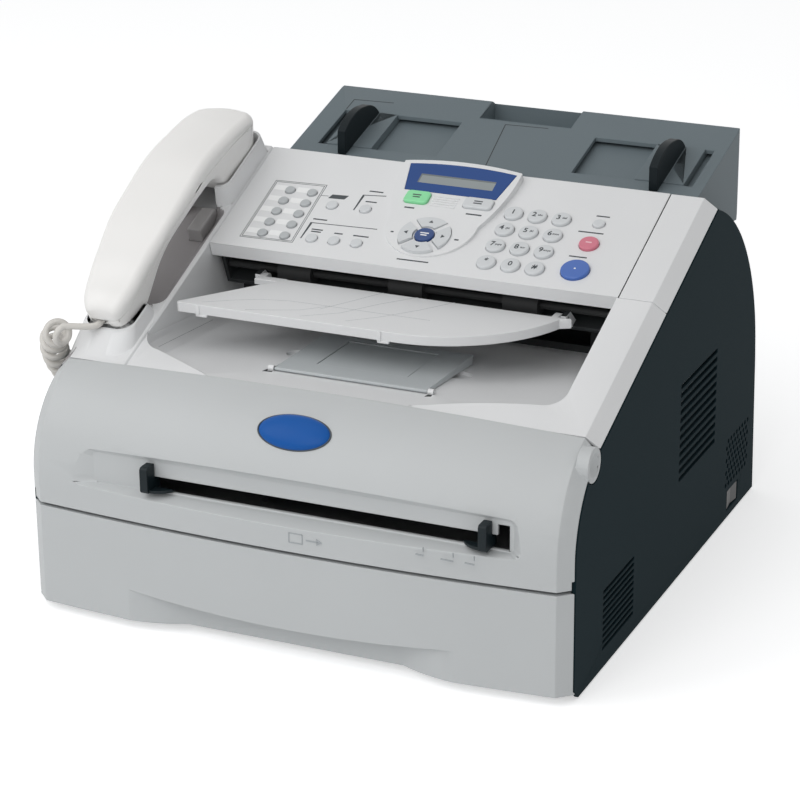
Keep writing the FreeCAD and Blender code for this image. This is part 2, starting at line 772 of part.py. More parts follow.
def hook_switch():
    tab = box(HOOK_X, HOOK_S, (-15.0, 1.0))
    tab = soften(tab, 1.5, lambda c: c.z > 0.9)
    stop = box((HOOK_X[0] - 1.2, HOOK_X[1] + 1.2), (HOOK_S[0] - 1.2, HOOK_S[1] + 1.2), (-20.5, -18.0))
    stem = box(HOOK_X, HOOK_S, (-18.5, -14.0))
    return tilt(fuse(tab, stem, stop))


# Handset stations: place s, half width, lower and upper height
HANDSET_STATIONS = (
    (22.5, 9.0, 16.5, 22.0),
    (25.0, 13.5, 9.0, 25.5),
    (30.0, 16.5, 3.0, 28.5),
    (38.0, 18.7, -1.0, 31.0),
    (48.0, 20.0, -2.0, 34.2),
    (58.0, 21.0, 4.0, 37.5),
    (68.0, 22.0, 15.0, 39.8),
    (78.0, 22.8, 24.0, 42.2),
    (90.0, 23.6, 28.5, 44.6),
    (110.0, 24.3, 29.8, 47.2),
    (130.0, 24.7, 30.0, 49.4),
    (146.0, 24.7, 29.0, 50.3),
    (160.0, 24.7, 25.0, 49.3),
    (170.0, 24.7, 14.0, 47.8),
    (178.0, 24.7, 3.0, 46.4),
    (190.0, 24.7, -2.5, 44.4),
    (205.0, 24.6, -3.0, 40.8),
    (214.0, 23.8, -2.5, 38.2),
    (220.0, 21.8, -1.0, 36.0),
    (224.5, 18.8, 3.0, 33.6),
    (226.6, 15.3, 8.0, 31.0),
)
SEAM_ROUTE = (
    (5.0, 9.0),
    (30.0, 17.0),
    (50.0, 24.5),
    (70.0, 30.0),
    (97.0, 37.5),
    (145.0, 40.0),
    (190.0, 36.0),
    (235.0, 27.0),
)
HANDSET_DRAFT = 0.2
HANDSET_CROWN = 1.2
CORD_PLACE = (HANDSET_X - 3.0, 31.0, 11.5)


def corner(a, v, b, r):
    """Start, middle and end of an arc of radius r that rounds the corner v between a and b."""
    (ax, ay), (vx, vy), (bx, by) = a, v, b
    la, lb = math.hypot(ax - vx, ay - vy), math.hypot(bx - vx, by - vy)
    ua, ub = ((ax - vx) / la, (ay - vy) / la), ((bx - vx) / lb, (by - vy) / lb)
    half = math.acos(ua[0] * ub[0] + ua[1] * ub[1]) / 2
    reach = r / math.tan(half)
    mx, my = ua[0] + ub[0], ua[1] + ub[1]
    lm = math.hypot(mx, my)
    inward = r / math.sin(half) - r
    middle = (vx + mx / lm * inward, vy + my / lm * inward)
    start = (vx + ua[0] * reach, vy + ua[1] * reach)
    end = (vx + ub[0] * reach, vy + ub[1] * reach)
    return start, middle, end


def handset_section(s, half, low, high):
    """Cross-section at s: a crowned top, crisp upper corners and walls that draw in downwards."""
    base = half - HANDSET_DRAFT * (high - low)
    left, right = HANDSET_X - half, HANDSET_X + half
    low_left, low_right = HANDSET_X - base, HANDSET_X + base
    points = [(left, high), (right, high), (low_right, low), (low_left, low)]
    top_r = min(6.0, 0.3 * (high - low), 0.4 * half)
    low_r = min(8.0, 0.3 * (high - low), 0.5 * base)
    arcs = []
    for i, r in enumerate((top_r, top_r, low_r, low_r)):
        arcs.append(corner(points[i - 1], points[i], points[(i + 1) % 4], r))
    crown = (HANDSET_X, high + HANDSET_CROWN)
    return wire(
        lambda x, h: V(x, s, h),
        arcs[0][2],
        (crown, arcs[1][0]),
        (arcs[1][1], arcs[1][2]),
        arcs[2][0],
        (arcs[2][1], arcs[2][2]),
        arcs[3][0],
        (arcs[3][1], arcs[3][2]),
        arcs[0][0],
        (arcs[0][1], arcs[0][2]),
    )


def handset():
    body = Part.makeLoft([handset_section(*station) for station in HANDSET_STATIONS], True, False)
    line = list(SEAM_ROUTE)
    upper = along_x((-200, -120), *line, (235.0, 80.0), (5.0, 80.0))
    lower = along_x((-200, -120), *[(s, h - 0.25) for s, h in line], (235.0, -40.0), (5.0, -40.0))
    x, s, h = CORD_PLACE
    cord_hole = disc(CORD_RADIUS + 0.6, (x, s - 16.0, h), (0, 1, 0), 18.0)
    lead_room = box((x - 6.0, x + 6.0), (15.0, 26.5), (-5.0, 14.2))
    cups = [disc(9.0, (HANDSET_X, s, top - 12.0), (0, 0, 1), 12.0) for s, top in CUPS]
    back = tilt(body.common(upper))
    face_shell = tilt(cut(body.common(lower), cord_hole, lead_room, *cups))
    return back, face_shell


HANDSET_BACK, HANDSET_FACE = handset()
keep("handset_cradle", cradle())
keep("hook_switch", hook_switch())
keep("handset_back", HANDSET_BACK)
keep("handset_face", HANDSET_FACE)


# Document feed frame with the sloping trim beside the panel

HINGE_S, HINGE_H = 226.0, -9.0
FEED_SH = (200.0, -24.0)
EXIT_SH = (136.0, -24.0)
FRAME_WALLS = ((-131.0, -128.0), (146.0, 149.0))
TRAY_PIVOT = (-8.0, 181.5)
TRAY_LUGS = ((-104.0, -100.0), (112.0, 116.0))


def feed_frame():
    span = (PANEL_FRONT_S, SLOPE_END_S)
    trim = strip(PANEL_RIGHT_X + GAP, span)
    inner_x = (PANEL_RIGHT_X + GAP, PANEL_RIGHT_X + GAP + WALL)
    inner_wall = tilt(box(inner_x, (131.0, SLOPE_END_S - 6), (-37.0, 0.0)))
    pieces = [inner_wall, tilt(box((-131.0, PANEL_RIGHT_X + GAP + WALL), (131.0, 222.0), (-37.0, -34.0)))]
    for x in FRAME_WALLS:
        wall = box(x, (131.0, 222.0), (-37.0, -14.0))
        ear = disc(5.0, (x[0], HINGE_S, HINGE_H), (1, 0, 0), x[1] - x[0])
        neck = along_x(x, (214.0, -16.0), (228.0, -16.0), (230.0, -9.5), (221.5, -7.0))
        pieces.append(tilt(fuse(wall, ear, neck)))
    for x in TRAY_LUGS:
        py, pz = TRAY_PIVOT
        eye = ((py - 3.0, pz - 4.0), (py - 4.0, pz + 3.0), (py + 4.0, pz + 4.0))
        pieces.append(along_x(x, (6.0, 176.5), (2.0, 173.0), *eye))
    holes = [
        tilt(disc(2.06, (-140.0, HINGE_S, HINGE_H), (1, 0, 0), 295.0)),
        tilt(disc(2.56, (-132.0, *FEED_SH), (1, 0, 0), 282.0)),
        tilt(disc(2.56, (-132.0, *EXIT_SH), (1, 0, 0), 282.0)),
        disc(1.56, (-110.0, *TRAY_PIVOT), (1, 0, 0), 240.0),
    ]
    return cut(fuse(trim, *pieces), *holes)


def roller(place, spots, radius):
    shaft = disc(2.5, (-131.3, *place), (1, 0, 0), 280.6)
    tyres = [disc(radius, (x, *place), (1, 0, 0), 24.0) for x in spots]
    return tilt(fuse(shaft, *tyres))


def image_sensor():
    bar = box((-110, 130), (160.0, 176.0), (-33.0, -20.0))
    posts = [box((x - 6, x + 6), (163.0, 173.0), (-34.0, -32.0)) for x in (-90, 110)]
    return tilt(fuse(bar, *posts))


keep("document_feed_frame", feed_frame())
keep("feed_roller", roller(FEED_SH, (-90.0, -10.0, 70.0), 7.0))
keep("exit_roller", roller(EXIT_SH, (-90.0, -10.0, 70.0), 7.0))
keep("image_sensor", image_sensor())


# Keys: each has a stem through the panel and a flange under it

FLANGE_H = (-4.6, -3.4)


def dome_h(s):
    return DOME_LOW_H + (s - DOME_LOW_S) * DOME_RISE


def round_key(x, s, radius, base, proud):
    top = base + proud
    stem = disc(radius, (x, s, FLANGE_H[1] - 0.5), (0, 0, 1), top - FLANGE_H[1] + 0.5)
    stem = soften(stem, 0.45 * proud, lambda c: c.z > top - 0.01)
    flange = disc(radius + 1.2, (x, s, FLANGE_H[0]), (0, 0, 1), FLANGE_H[1] - FLANGE_H[0])
    return tilt(fuse(stem, flange))


def round_hole(x, s, radius):
    return disc(radius + KEY_CLEAR, (x, s, -20.0), (0, 0, 1), 40.0)


def square_key(x, s, base):
    top = base + KEY_PROUD
    stem = along_z((FLANGE_H[1] - 0.5, top), *rounded(x, s, 3.0))
    stem = soften(stem, 0.9, lambda c: c.z > top - 0.01)
    flange = along_z(FLANGE_H, *rounded((x[0] - 1.2, x[1] + 1.2), (s[0] - 1.2, s[1] + 1.2), 3.0))
    return tilt(fuse(stem, flange))


def square_hole(x, s):
    k = KEY_CLEAR
    return along_z((-20.0, 20.0), *rounded((x[0] - k, x[1] + k), (s[0] - k, s[1] + k), 3.0 + k))


def sector(r_in, r_out, turn, spread, h):
    """A ring piece about the middle of the arrow keys."""

    def at(r, degrees):
        a = math.radians(turn + degrees)
        return (NAV[0] + r * math.cos(a), NAV[1] + r * math.sin(a))

    return along_z(
        h,
        at(r_in, -spread[0]),
        at(r_out, -spread[1]),
        (at(r_out, 0), at(r_out, spread[1])),
        at(r_in, spread[0]),
        (at(r_in, 0), at(r_in, -spread[0])),
    )


DIGIT_NAMES = (
    ("digit_key_1", "digit_key_2", "digit_key_3"),
    ("digit_key_4", "digit_key_5", "digit_key_6"),
    ("digit_key_7", "digit_key_8", "digit_key_9"),
    ("star_key", "digit_key_0", "hash_key"),
)
START_KEY = (117.0, 145.3, 9.4)
STOP_KEY = (117.0, 172.0, 6.5)
FAX_KEY = ((-18.6, -1.6), (186.8, 198.6))
COPY_KEY = ((22.8, 43.2), (188.4, 198.6))
ARROW_SPREAD = (32.0, 38.0)
ARROW_TURNS = (0.0, 90.0, 180.0, 270.0)
NAV_H = dome_h(NAV[1])
HOLES = []

for row, names in enumerate(DIGIT_NAMES):
    for column, key_name in enumerate(names):
        spot = (KEYPAD_X[column], KEYPAD_S[row])
        keep(key_name, round_key(*spot, DIGIT_RADIUS, 0.0, KEY_PROUD))
        HOLES.append(round_hole(*spot, DIGIT_RADIUS))

keep("start_key", round_key(*START_KEY, 0.0, KEY_PROUD))
keep("stop_key", round_key(*STOP_KEY, 0.0, KEY_PROUD))
HOLES += [round_hole(*START_KEY), round_hole(*STOP_KEY)]
for key_name, place in (("fax_mode_key", FAX_KEY), ("copy_mode_key", COPY_KEY)):
    keep(key_name, square_key(*place, dome_h(place[1][1]) - 0.6))
    HOLES.append(square_hole(*place))

keep("menu_key", round_key(*NAV, HUB_RADIUS - 0.2, NAV_H, 1.6))
HOLES.append(round_hole(*NAV, HUB_RADIUS - 0.2))
ARROWS = []
for turn in ARROW_TURNS:
    cap = sector(NAV_INNER, NAV_OUTER, turn, ARROW_SPREAD, (FLANGE_H[1] - 0.5, NAV_H + 1.4))
    foot = sector(NAV_INNER, NAV_OUTER + 1.2, turn, ARROW_SPREAD, FLANGE_H)
    ARROWS.append(tilt(fuse(cap, foot)))
    wide = (ARROW_SPREAD[0] + 2.6, ARROW_SPREAD[1] + 1.2)
    HOLES.append(sector(NAV_INNER - KEY_CLEAR, NAV_OUTER + KEY_CLEAR, turn, wide, (-20.0, 20.0)))
keep("arrow_keys", Part.makeCompound(ARROWS))

ONE_TOUCH = [(x, s) for x in ONE_TOUCH_X for s in ONE_TOUCH_S]
keep("one_touch_keys", Part.makeCompound([round_key(x, s, 3.4, 0.0, 1.6) for x, s in ONE_TOUCH]))
HOLES += [round_hole(x, s, 3.4) for x, s in ONE_TOUCH]
keep("round_keys", Part.makeCompound([round_key(x, s, 4.0, 0.0, 1.6) for x, s in ROUND_KEYS]))
HOLES += [round_hole(x, s, 4.0) for x, s in ROUND_KEYS]


# Control panel with the raised dome, display window and display module

MODULE_X, MODULE_S = (-16.2, 37.4), (207.6, 216.4)


def dome_outline():
    def at(x, s):
        return (DOME_X + x, s)

    return [
        at(-42, 228),
        (at(0, 232.2), at(42, 228)),
        (at(39.5, 200), at(31, 172)),
        (at(0, 138.6), at(-31, 172)),
        (at(-39.5, 200), at(-42, 228)),
    ]


def window_outline(grow):
    left, right = -27.8 - grow, 48.4 + grow
    return [
        (left, 225.4 + grow),
        ((10.3, 228.4 + grow), (right, 225.4 + grow)),
        (right - 5.5, 199.7 - grow),
        (left + 5.5, 199.7 - grow),
    ]


def over_dome(low, high):
    """The space between two heights measured from the dome's sloping face."""
    s0, s1 = 120.0, 260.0
    h0, h1 = dome_h(s0), dome_h(s1)
    return along_x((-80, 100), (s0, h0 + low), (s1, h1 + low), (s1, h1 + high), (s0, h0 + high))


def control_panel():
    span = (PANEL_FRONT_S, SLOPE_END_S)
    plate = box((PANEL_LEFT_X, PANEL_RIGHT_X), span, (-PANEL_THICK, 0.0))
    lip = box((PANEL_LEFT_X, PANEL_RIGHT_X), (span[0], span[0] + 3.0), (-10.5, -1.0))
    pieces = [lip]
    for edge, side in ((PANEL_LEFT_X, 1), (PANEL_RIGHT_X, -1)):
        x = tuple(sorted((edge, edge + side * 2.5)))
        pieces.append(box(x, (span[0], 228.0), (-8.0, -1.0)))
        pieces.append(disc(5.0, (x[0], HINGE_S, HINGE_H), (1, 0, 0), 2.5))
        pin_end = edge + side * 7.0
        pin = tuple(sorted((edge + side * 1.0, pin_end)))
        pieces.append(disc(2.0, (pin[0], HINGE_S, HINGE_H), (1, 0, 0), pin[1] - pin[0]))
    dome = along_z((-1.0, 20.0), *dome_outline()).cut(over_dome(0.0, 60.0))
    whole = fuse(plate, dome, *pieces)
    bed = along_z((-20, 20), *window_outline(0.2)).common(over_dome(-1.3, 30.0))
    opening = box((MODULE_X[0] - 0.3, MODULE_X[1] + 0.3), (MODULE_S[0] - 0.3, MODULE_S[1] + 0.3), (-20, 20))
    return tilt(cut(whole, bed, opening, *HOLES))


def display_window():
    pane = along_z((-20, 20), *window_outline(0.0)).common(over_dome(-1.3, 0.3))
    return tilt(pane)


def display_module():
    block = box(MODULE_X, MODULE_S, (-8.0, 20.0)).common(over_dome(-40.0, -1.4))
    board = box((MODULE_X[0] - 4, MODULE_X[1] + 4), (MODULE_S[0] - 4, MODULE_S[1] + 4), (-5.0, -3.1))
    return tilt(fuse(block, board))


keep("control_panel", control_panel())
keep("display_window", display_window())
keep("display_module", display_module())


# Document support behind the panel, and its two guides

SUPPORT_WALL = 3.0
NOTCH_X = (-12.0, 55.0)
NOTCH_Y = 155.0
GUIDE_FACES = {"left_document_guide": (-84.0, -1), "right_document_guide": (134.0, 1)}


def support_z(y):
    return SUPPORT_FRONT[1] + (y - SUPPORT_FRONT[0]) * SUPPORT_TAN


def support_plan(inset):
    x0, x1 = SUPPORT_X[0] + inset, SUPPORT_X[1] - inset
    back = SUPPORT_BACK_Y - inset
    r = 14.0 - inset
    k = r * (1 - math.sqrt(0.5))
    return along_z(
        (150, 300),
        (x0, 60.0),
        (x1, 60.0),
        (x1, back - r),
        ((x1 - k, back - k), (x1 - r, back)),
        (x0 + r, back),
        ((x0 + k, back - k), (x0, back - r)),
    )


def document_support():
    front = SUPPORT_FRONT
    outer = along_x(
        SUPPORT_X,
        front,
        (178.0, 263.1),
        ((187.2, 256.0), (188.4, 243.0)),
        (188.4, 222.0),
        (176.3, 199.0),
        (150.0, 203.0),
        (126.3, 213.5),
        (106.0, 225.6),
        (98.0, 229.7),
        (90.0, 233.4),
    ).common(support_plan(0.0))
    inner = along_x(
        (-200, 200),
        (60.0, support_z(60.0) - 3.1),
        (177.3, 259.8),
        ((184.3, 253.6), (185.4, 243.0)),
        (185.4, 100.0),
        (60.0, 100.0),
    ).common(support_plan(SUPPORT_WALL))
    shell = outer.cut(inner)
    shelf = along_x(
        (SUPPORT_X[0] + 1, SUPPORT_X[1] - 1),
        (92.0, support_z(92.0) - 8.5),
        (152.0, support_z(152.0) - 8.5),
        (152.0, support_z(152.0) - 6.0),
        (92.0, support_z(92.0) - 6.0),
    )
    grip_x = (NOTCH_X[0] - 3, NOTCH_X[1] + 3)
    grip = along_x(grip_x, (152.0, 252.5), (190.0, 237.5), (190.0, 270.0), (152.0, 270.0))
    room_low = support_z(NOTCH_Y) - 0.3
    grip_back = 183.5
    grip_room = along_x(NOTCH_X, (NOTCH_Y, room_low), (grip_back, 244.4), (grip_back, 275.0), (NOTCH_Y, 275.0))
    window_z = (support_z(WINDOW_Y[0]) - 4.5, 280)
    windows = [box(x, WINDOW_Y, window_z) for x in (WINDOW_LEFT_X, WINDOW_RIGHT_X)]
    above_shelf = along_x(
        (-123.4, 164.9),
        (80.0, support_z(80.0) - 5.99),
        (160.0, support_z(160.0) - 5.99),
        (160.0, 290.0),
        (80.0, 290.0),
    )
    windows = [window.common(above_shelf) for window in windows]
    return cut(fuse(shell, shelf, grip.common(outer)), grip_room, *windows)


def support_slab(x, y, low, high):
    return along_x(
        x,
        (y[0], support_z(y[0]) + low),
        (y[1], support_z(y[1]) + low),
        (y[1], support_z(y[1]) + high),
        (y[0], support_z(y[0]) + high),
    )


def document_guide(inner, side):
    fin = along_x(
        tuple(sorted((inner, inner + side * 6.0))),
        (89.2, support_z(89.2) + 0.4),
        (89.6, 257.0),
        ((104.0, 264.6), (125.0, 265.8)),
        ((138.0, 262.4), (146.0, 256.4)),
        (146.0, support_z(146.0) + 0.4),
    )
    wide = tuple(sorted((inner + side * 20.0, inner - side * 14.0)))
    base = support_slab(wide, (WINDOW_Y[0] + 0.5, WINDOW_Y[1] - 0.5), -5.5, 0.6)
    lips = support_slab(wide, (WINDOW_Y[0] - 3.0, WINDOW_Y[1] + 3.0), -5.5, -3.6)
    return fuse(fin, base, lips)


keep("document_support", document_support())
for guide_name, (inner, side) in GUIDE_FACES.items():
    keep(guide_name, document_guide(inner, side))


# Document output tray over the deck

TRAY_LOW, TRAY_HIGH = 180.6, 184.6


def document_tray():
    outline = [
        (-80.0, -15.0),
        (-125.0, -78.0),
        ((-125.4, -80.6), (-122.0, -81.5)),
        (30.0, -81.5),
        ((84.0, -62.0), (114.0, -19.0)),
        (121.0, -15.0),
    ]
    plate = along_z((TRAY_LOW, TRAY_HIGH), *outline)
    rim = along_z((TRAY_LOW - 2.5, TRAY_LOW + 1), *outline).cut(
        along_z(
            (TRAY_LOW - 5, TRAY_LOW),
            (-78.0, -17.0),
            (-121.5, -78.4),
            (29.0, -78.4),
            ((81.8, -60.0), (111.0, -17.0)),
        )
    )
    arms = []
    py, pz = TRAY_PIVOT
    for x in TRAY_LUGS:
        near = (x[1] + 0.4, x[1] + 5.0) if x[0] < 0 else (x[0] - 5.0, x[0] - 0.4)
        arms.append(disc(3.1, (near[0], py, pz), (1, 0, 0), near[1] - near[0]))
        arms.append(box(near, (-16.0, py), (pz - 0.9, pz + 3.1)))
        pin = (x[0] + 0.3, near[1]) if x[0] < 0 else (near[0], x[1] - 0.3)
        arms.append(disc(1.5, (pin[0], py, pz), (1, 0, 0), pin[1] - pin[0]))
    link = box((-100.0, -79.0), (-21.0, -14.0), (TRAY_LOW, TRAY_HIGH))
    return fuse(plate, rim, link, *arms)


keep("document_output_tray", document_tray())


# Works inside the body


def beam(y, z):
    return box((-PLATE_X[0], PLATE_X[0]), y, z)


def works():
    spool = disc(15.0, (-10.0, *PICKUP), (1, 0, 0), 50.0)
    keep("pickup_roller", fuse(disc(3.0, (-171.5, *PICKUP), (1, 0, 0), 343.0), spool))
    hopper_box = box((-115, 135), (-92, -42), (90, 124))
    hopper = soften(hopper_box, 8.0, lambda c: c.z > 123.9 and abs(c.x - 10) < 5)
    keep("toner_cartridge", fuse(hopper, beam((-76, -66), (96, 104))))
    drum = disc(12.0, (-110, -14, 104), (1, 0, 0), 240.0)
    frame = box((-118, 138), (-40, 12), (110, 124))
    keep("drum_unit", fuse(drum, frame, beam((-20, -8), (112, 120))))
    keep("laser_unit", fuse(box((-100, 110), (25, 95), (100, 136)), beam((50, 60), (118, 128))))
    keep("fuser_unit", fuse(box((-125, 135), (102, 145), (88, 135)), beam((118, 130), (100, 112))))
    x = -175.0
    board = box((x - 1.6, x), (-60, 110), (50, 120))
    legs = [disc(3.0, (x, y, z), (1, 0, 0), -PLATE_X[1] - x) for y in (-52, 102) for z in (58, 112)]
    chips = [
        box((x - 4.6, x - 1.5), (-20, 10), (70, 100)),
        box((x - 3.6, x - 1.5), (20, 38), (60, 72)),
        box((x - 5.0, x - 1.5), (76.5, 91.5), (92.5, 107.5)),
    ]
    jack_room = box((x - 6.0, x - 2.6), (79.5, 88.5), (95.5, 104.5))
    keep("main_board", fuse(board, *legs, *chips).cut(jack_room))
    socket = box((INLET_X[0] + 0.3, INLET_X[1] - 0.3), (150, 181.4), (INLET_Z[0] + 0.3, INLET_Z[1] - 0.3))
    hollow = box((INLET_X[0] + 3, INLET_X[1] - 3), (166, 190), (INLET_Z[0] + 3, INLET_Z[1] - 3))
    blades = [box((x - 0.9, x + 0.9), (164, 171), (41, 47)) for x in (125.5, 132.0, 138.5)]
    case = box((-20, 147), (122, 154), (12, 72))
    keep("power_supply", fuse(case, socket.cut(hollow), *blades))


works()


# Curly handset cord: straight lead, curls, straight lead to the wall plug

CORD_START = slope_point(*CORD_PLACE)
CORD_AXIS = (
    CORD_START,
    slope_point(CORD_PLACE[0], 17.0, CORD_PLACE[2]),
    V(-165.0, -133.0, 169.5),
    V(-177.0, -132.0, 171.5),
    V(-192.0, -125.0, 170.0),
    V(-199.0, -114.0, 150.0),
    V(-199.0, -97.0, 130.0),
    V(-199.0, -72.0, 114.0),
    V(-199.0, -44.0, 104.0),
    V(-199.0, -12.0, 97.5),
    V(-199.0, 24.0, 95.0),
    V(-198.5, 52.0, 96.5),
    V(-196.0, 72.0, 100.0),
)


def cord():
    spine = Part.BSplineCurve()
    inner = len(CORD_AXIS) - 3
    repeats = [3] + [1] * inner + [3]
    spine.buildFromPolesMultsKnots(list(CORD_AXIS), repeats, list(range(inner + 2)), False, 2)
    edge = spine.toShape()
    total = edge.Length
    first = spine.FirstParameter

    def place(d):
        u = spine.parameterAtDistance(d, first)
        t = V(*spine.tangent(u)[0])
        side = t.cross(V(0.12, 0.18, 1.0)).normalize()
        up = side.cross(t).normalize()
        return spine.value(u), side, up

    lead, tail = CURL_LEAD, CURL_TAIL
    steps = 4 * CURL_TURNS
    points = []

    def curl(f):
        """The wire's middle at the fraction f of the curled length."""
        d = lead + (total - lead - tail) * f
        r = CURL_RADIUS * min(1.0, 0.6 + 5.0 * f)
        a = 2 * math.pi * (CURL_TURNS * f**CURL_LOOSEN + CURL_PHASE)
        p, side, up = place(d)
        return p + side * (r * math.cos(a)) + up * (r * math.sin(a))

    tiny = 0.02 / steps
    points.append((CORD_START, V(0, -COS, -SIN)))
    points.append((CORD_START + V(0, -COS, -SIN) * 9.0, V(0, -COS, -SIN)))
    for i in range(CURL_SKIP, steps + 1):
        f = (i / steps) ** (1.0 / CURL_LOOSEN)
        points.append((curl(f), (curl(f + tiny) - curl(f - tiny)).normalize()))
    end = V(-SIDE_INNER_X + 2.0, JACK[1], JACK[2])
    points.append((V(-191.0, JACK[1], JACK[2]), V(1, 0, 0)))
    points.append((end, V(1, 0, 0)))
    return points


def biarc(p0, t0, p1, t1):
    """Two arcs that leave p0 along t0 and reach p1 along t1."""
    v = p1 - p0
    t = t0 + t1
    k = 2.0 * (1.0 - t0.dot(t1))
    if k < 1e-9:
        return [Part.LineSegment(p0, p1).toShape()]
    d = (-v.dot(t) + math.sqrt(v.dot(t) ** 2 + k * v.dot(v))) / k
    q0, q1 = p0 + t0 * d, p1 - t1 * d
    m = (q0 + q1) * 0.5
    arcs = []
    for a, q, b in ((p0, q0, m), (m, q1, p1)):
        c = (a + b) * 0.5
        half = (b - a).Length / 2
        angle = math.acos(min(1.0, half / d))
        if angle < 1e-4:
            arcs.append(Part.LineSegment(a, b).toShape())
        else:
            arcs.append(Part.Arc(a, c + (q - c) * (math.tan(angle / 2) / math.tan(angle)), b).toShape())
    return arcs


CORD_POINTS = cord()


def cord_pipe():
    edges = []
    for (p0, t0), (p1, t1) in zip(CORD_POINTS, CORD_POINTS[1:]):
        edges += biarc(p0, t0, p1, t1)
    route = Part.Wire(edges)
    ring = Part.Wire(Part.Circle(CORD_POINTS[0][0], CORD_POINTS[0][1], CORD_RADIUS).toShape())
    return route, route.makePipeShell([ring], True, False)


def least_gap(route):
    """Least space between two stretches of the wire, on points a little over a millimetre apart."""
    points = [p for e in route.Edges for p in e.discretize(max(3, int(e.Length)))[:-1]]
    ahead = 18
    nearest = min((p - q).Length for i, p in enumerate(points) for q in points[i + ahead : i + 12 * ahead])
    return nearest - 2 * CORD_RADIUS


CORD_ROUTE, CORD = cord_pipe()
keep("handset_cord", CORD)


# Files

os.makedirs("parts", exist_ok=True)
for part_name, part_shape in PARTS.items():
    part_shape.exportStep("parts/" + part_name + ".step")
print(len(PARTS), "nodes, cord", round(CORD_ROUTE.Length), "mm of wire")
print("least gap between curls", round(least_gap(CORD_ROUTE), 2), "mm")
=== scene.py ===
"""Looks for a desktop laser fax machine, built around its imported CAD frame."""

import json
import math

import bmesh
import bpy
from mathutils import Matrix, Quaternion, Vector


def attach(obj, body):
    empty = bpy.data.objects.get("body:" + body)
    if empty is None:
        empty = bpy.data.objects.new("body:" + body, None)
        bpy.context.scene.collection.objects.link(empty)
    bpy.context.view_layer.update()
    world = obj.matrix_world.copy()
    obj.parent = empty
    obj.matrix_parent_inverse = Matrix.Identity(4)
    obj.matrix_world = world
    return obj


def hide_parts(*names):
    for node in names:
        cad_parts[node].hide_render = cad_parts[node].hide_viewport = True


bl_info = {
    "name": "Desktop fax machine",
    "version": (1, 0, 0),
    "blender": (4, 5, 0),
    "location": "View3D > Sidebar > Fax",
    "description": "Dresses the fax machine's CAD parts with mouldings, keys, print and a curly cord",
    "category": "Object",
}

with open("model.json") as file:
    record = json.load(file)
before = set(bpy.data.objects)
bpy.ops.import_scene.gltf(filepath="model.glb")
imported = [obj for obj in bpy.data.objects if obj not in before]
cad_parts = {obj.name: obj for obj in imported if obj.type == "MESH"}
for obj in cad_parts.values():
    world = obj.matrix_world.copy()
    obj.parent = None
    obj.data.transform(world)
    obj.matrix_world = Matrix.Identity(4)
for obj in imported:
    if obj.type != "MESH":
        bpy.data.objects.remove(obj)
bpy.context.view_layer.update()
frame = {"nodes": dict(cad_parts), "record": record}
NODES = frame["nodes"]
BODY_OF = {n: b for b, nodes in frame["record"]["behaviour"]["bodies"].items() for n in nodes}

MM = 0.001
# The sloping top: its angle, and where it starts at the front
SLOPE_DEG = 21.574
SLOPE_FOOT = Vector((0, -135.0, 157.8)) * MM
SLOPE = Matrix.Translation(SLOPE_FOOT) @ Matrix.Rotation(math.radians(SLOPE_DEG), 4, "X")


def linear(hex_colour):
    """An sRGB hex value as linear red, green and blue."""
    parts = [int(hex_colour[i : i + 2], 16) / 255 for i in (1, 3, 5)]
    return [c / 12.92 if c <= 0.04045 else ((c + 0.055) / 1.055) ** 2.4 for c in parts]


# Settings a user would change


def colour(label, what, hex_colour):
    """A colour setting, from an sRGB hex value."""
    return bpy.props.FloatVectorProperty(
        name=label, description=what, subtype="COLOR", size=3, min=0, max=1, default=linear(hex_colour)
    )


def length(label, what, millimetres):
    """A size setting, kept in metres."""
    return bpy.props.FloatProperty(name=label, description=what, default=millimetres * MM, unit="LENGTH")


def strength(label, what, level, unit="NONE"):
    """A setting for how strong a light is."""
    return bpy.props.FloatProperty(name=label, description=what, default=level, min=0, unit=unit)


class FaxColours(bpy.types.PropertyGroup):
    top: colour("Top", "Panel, deck and cradle plastic", "#E2E3E4")
    front: colour("Front", "Front cover and paper tray plastic", "#BFC2C3")
    handset: colour("Handset", "Handset plastic", "#F1F0EE")
    dark: colour("Dark body", "Side and rear cover plastic", "#17262B")
    support: colour("Support", "Document support plastic", "#6A757A")
    flap: colour("Flap", "Output flap plastic", "#B9BEC0")
    guide: colour("Guides", "Hand-feed guide plastic", "#121C20")
    key: colour("Keys", "Plain key plastic", "#D2D5D7")
    window: colour("Window", "Display window blue", "#214888")
    badge: colour("Badge", "Bare front badge blue", "#1B58A4")
    fax_key: colour("Fax key", "Lit green key", "#8BE0A4")
    stop_key: colour("Stop key", "Rose key", "#D4788A")
    start_key: colour("Start key", "Blue key", "#3F68B6")
    ink: colour("Ink", "Printed marks", "#3A4044")


class FaxSizes(bpy.types.PropertyGroup):
    edge: length("Edge", "Rounding of moulded edges", 0.5)
    fine_edge: length("Fine edge", "Rounding of small edges", 0.3)
    digit: length("Digit", "Height of the key digits", 6.0)
    letter: length("Letter", "Height of the small key letters", 2.5)
    cord: length("Cord", "Diameter of the handset cord's wire", 4.4)
    curl: length("Curl", "Radius of the cord's curls, to the wire's middle", 7.3)


class FaxStage(bpy.types.PropertyGroup):
    floor: colour("Floor", "Pale floor", "#F4F5F6")
    world: strength("World", "Strength of the even light", 0.42)
    key: strength("Key light", "Power of the left light", 4.5, "POWER")
    fill: strength("Fill light", "Power of the front light", 18, "POWER")
    top: strength("Top light", "Power of the overhead light", 6, "POWER")


# Materials

# Colour sockets of a Mix node: its two inputs and its result
MIX_FIRST, MIX_SECOND, MIX_RESULT = 6, 7, 2


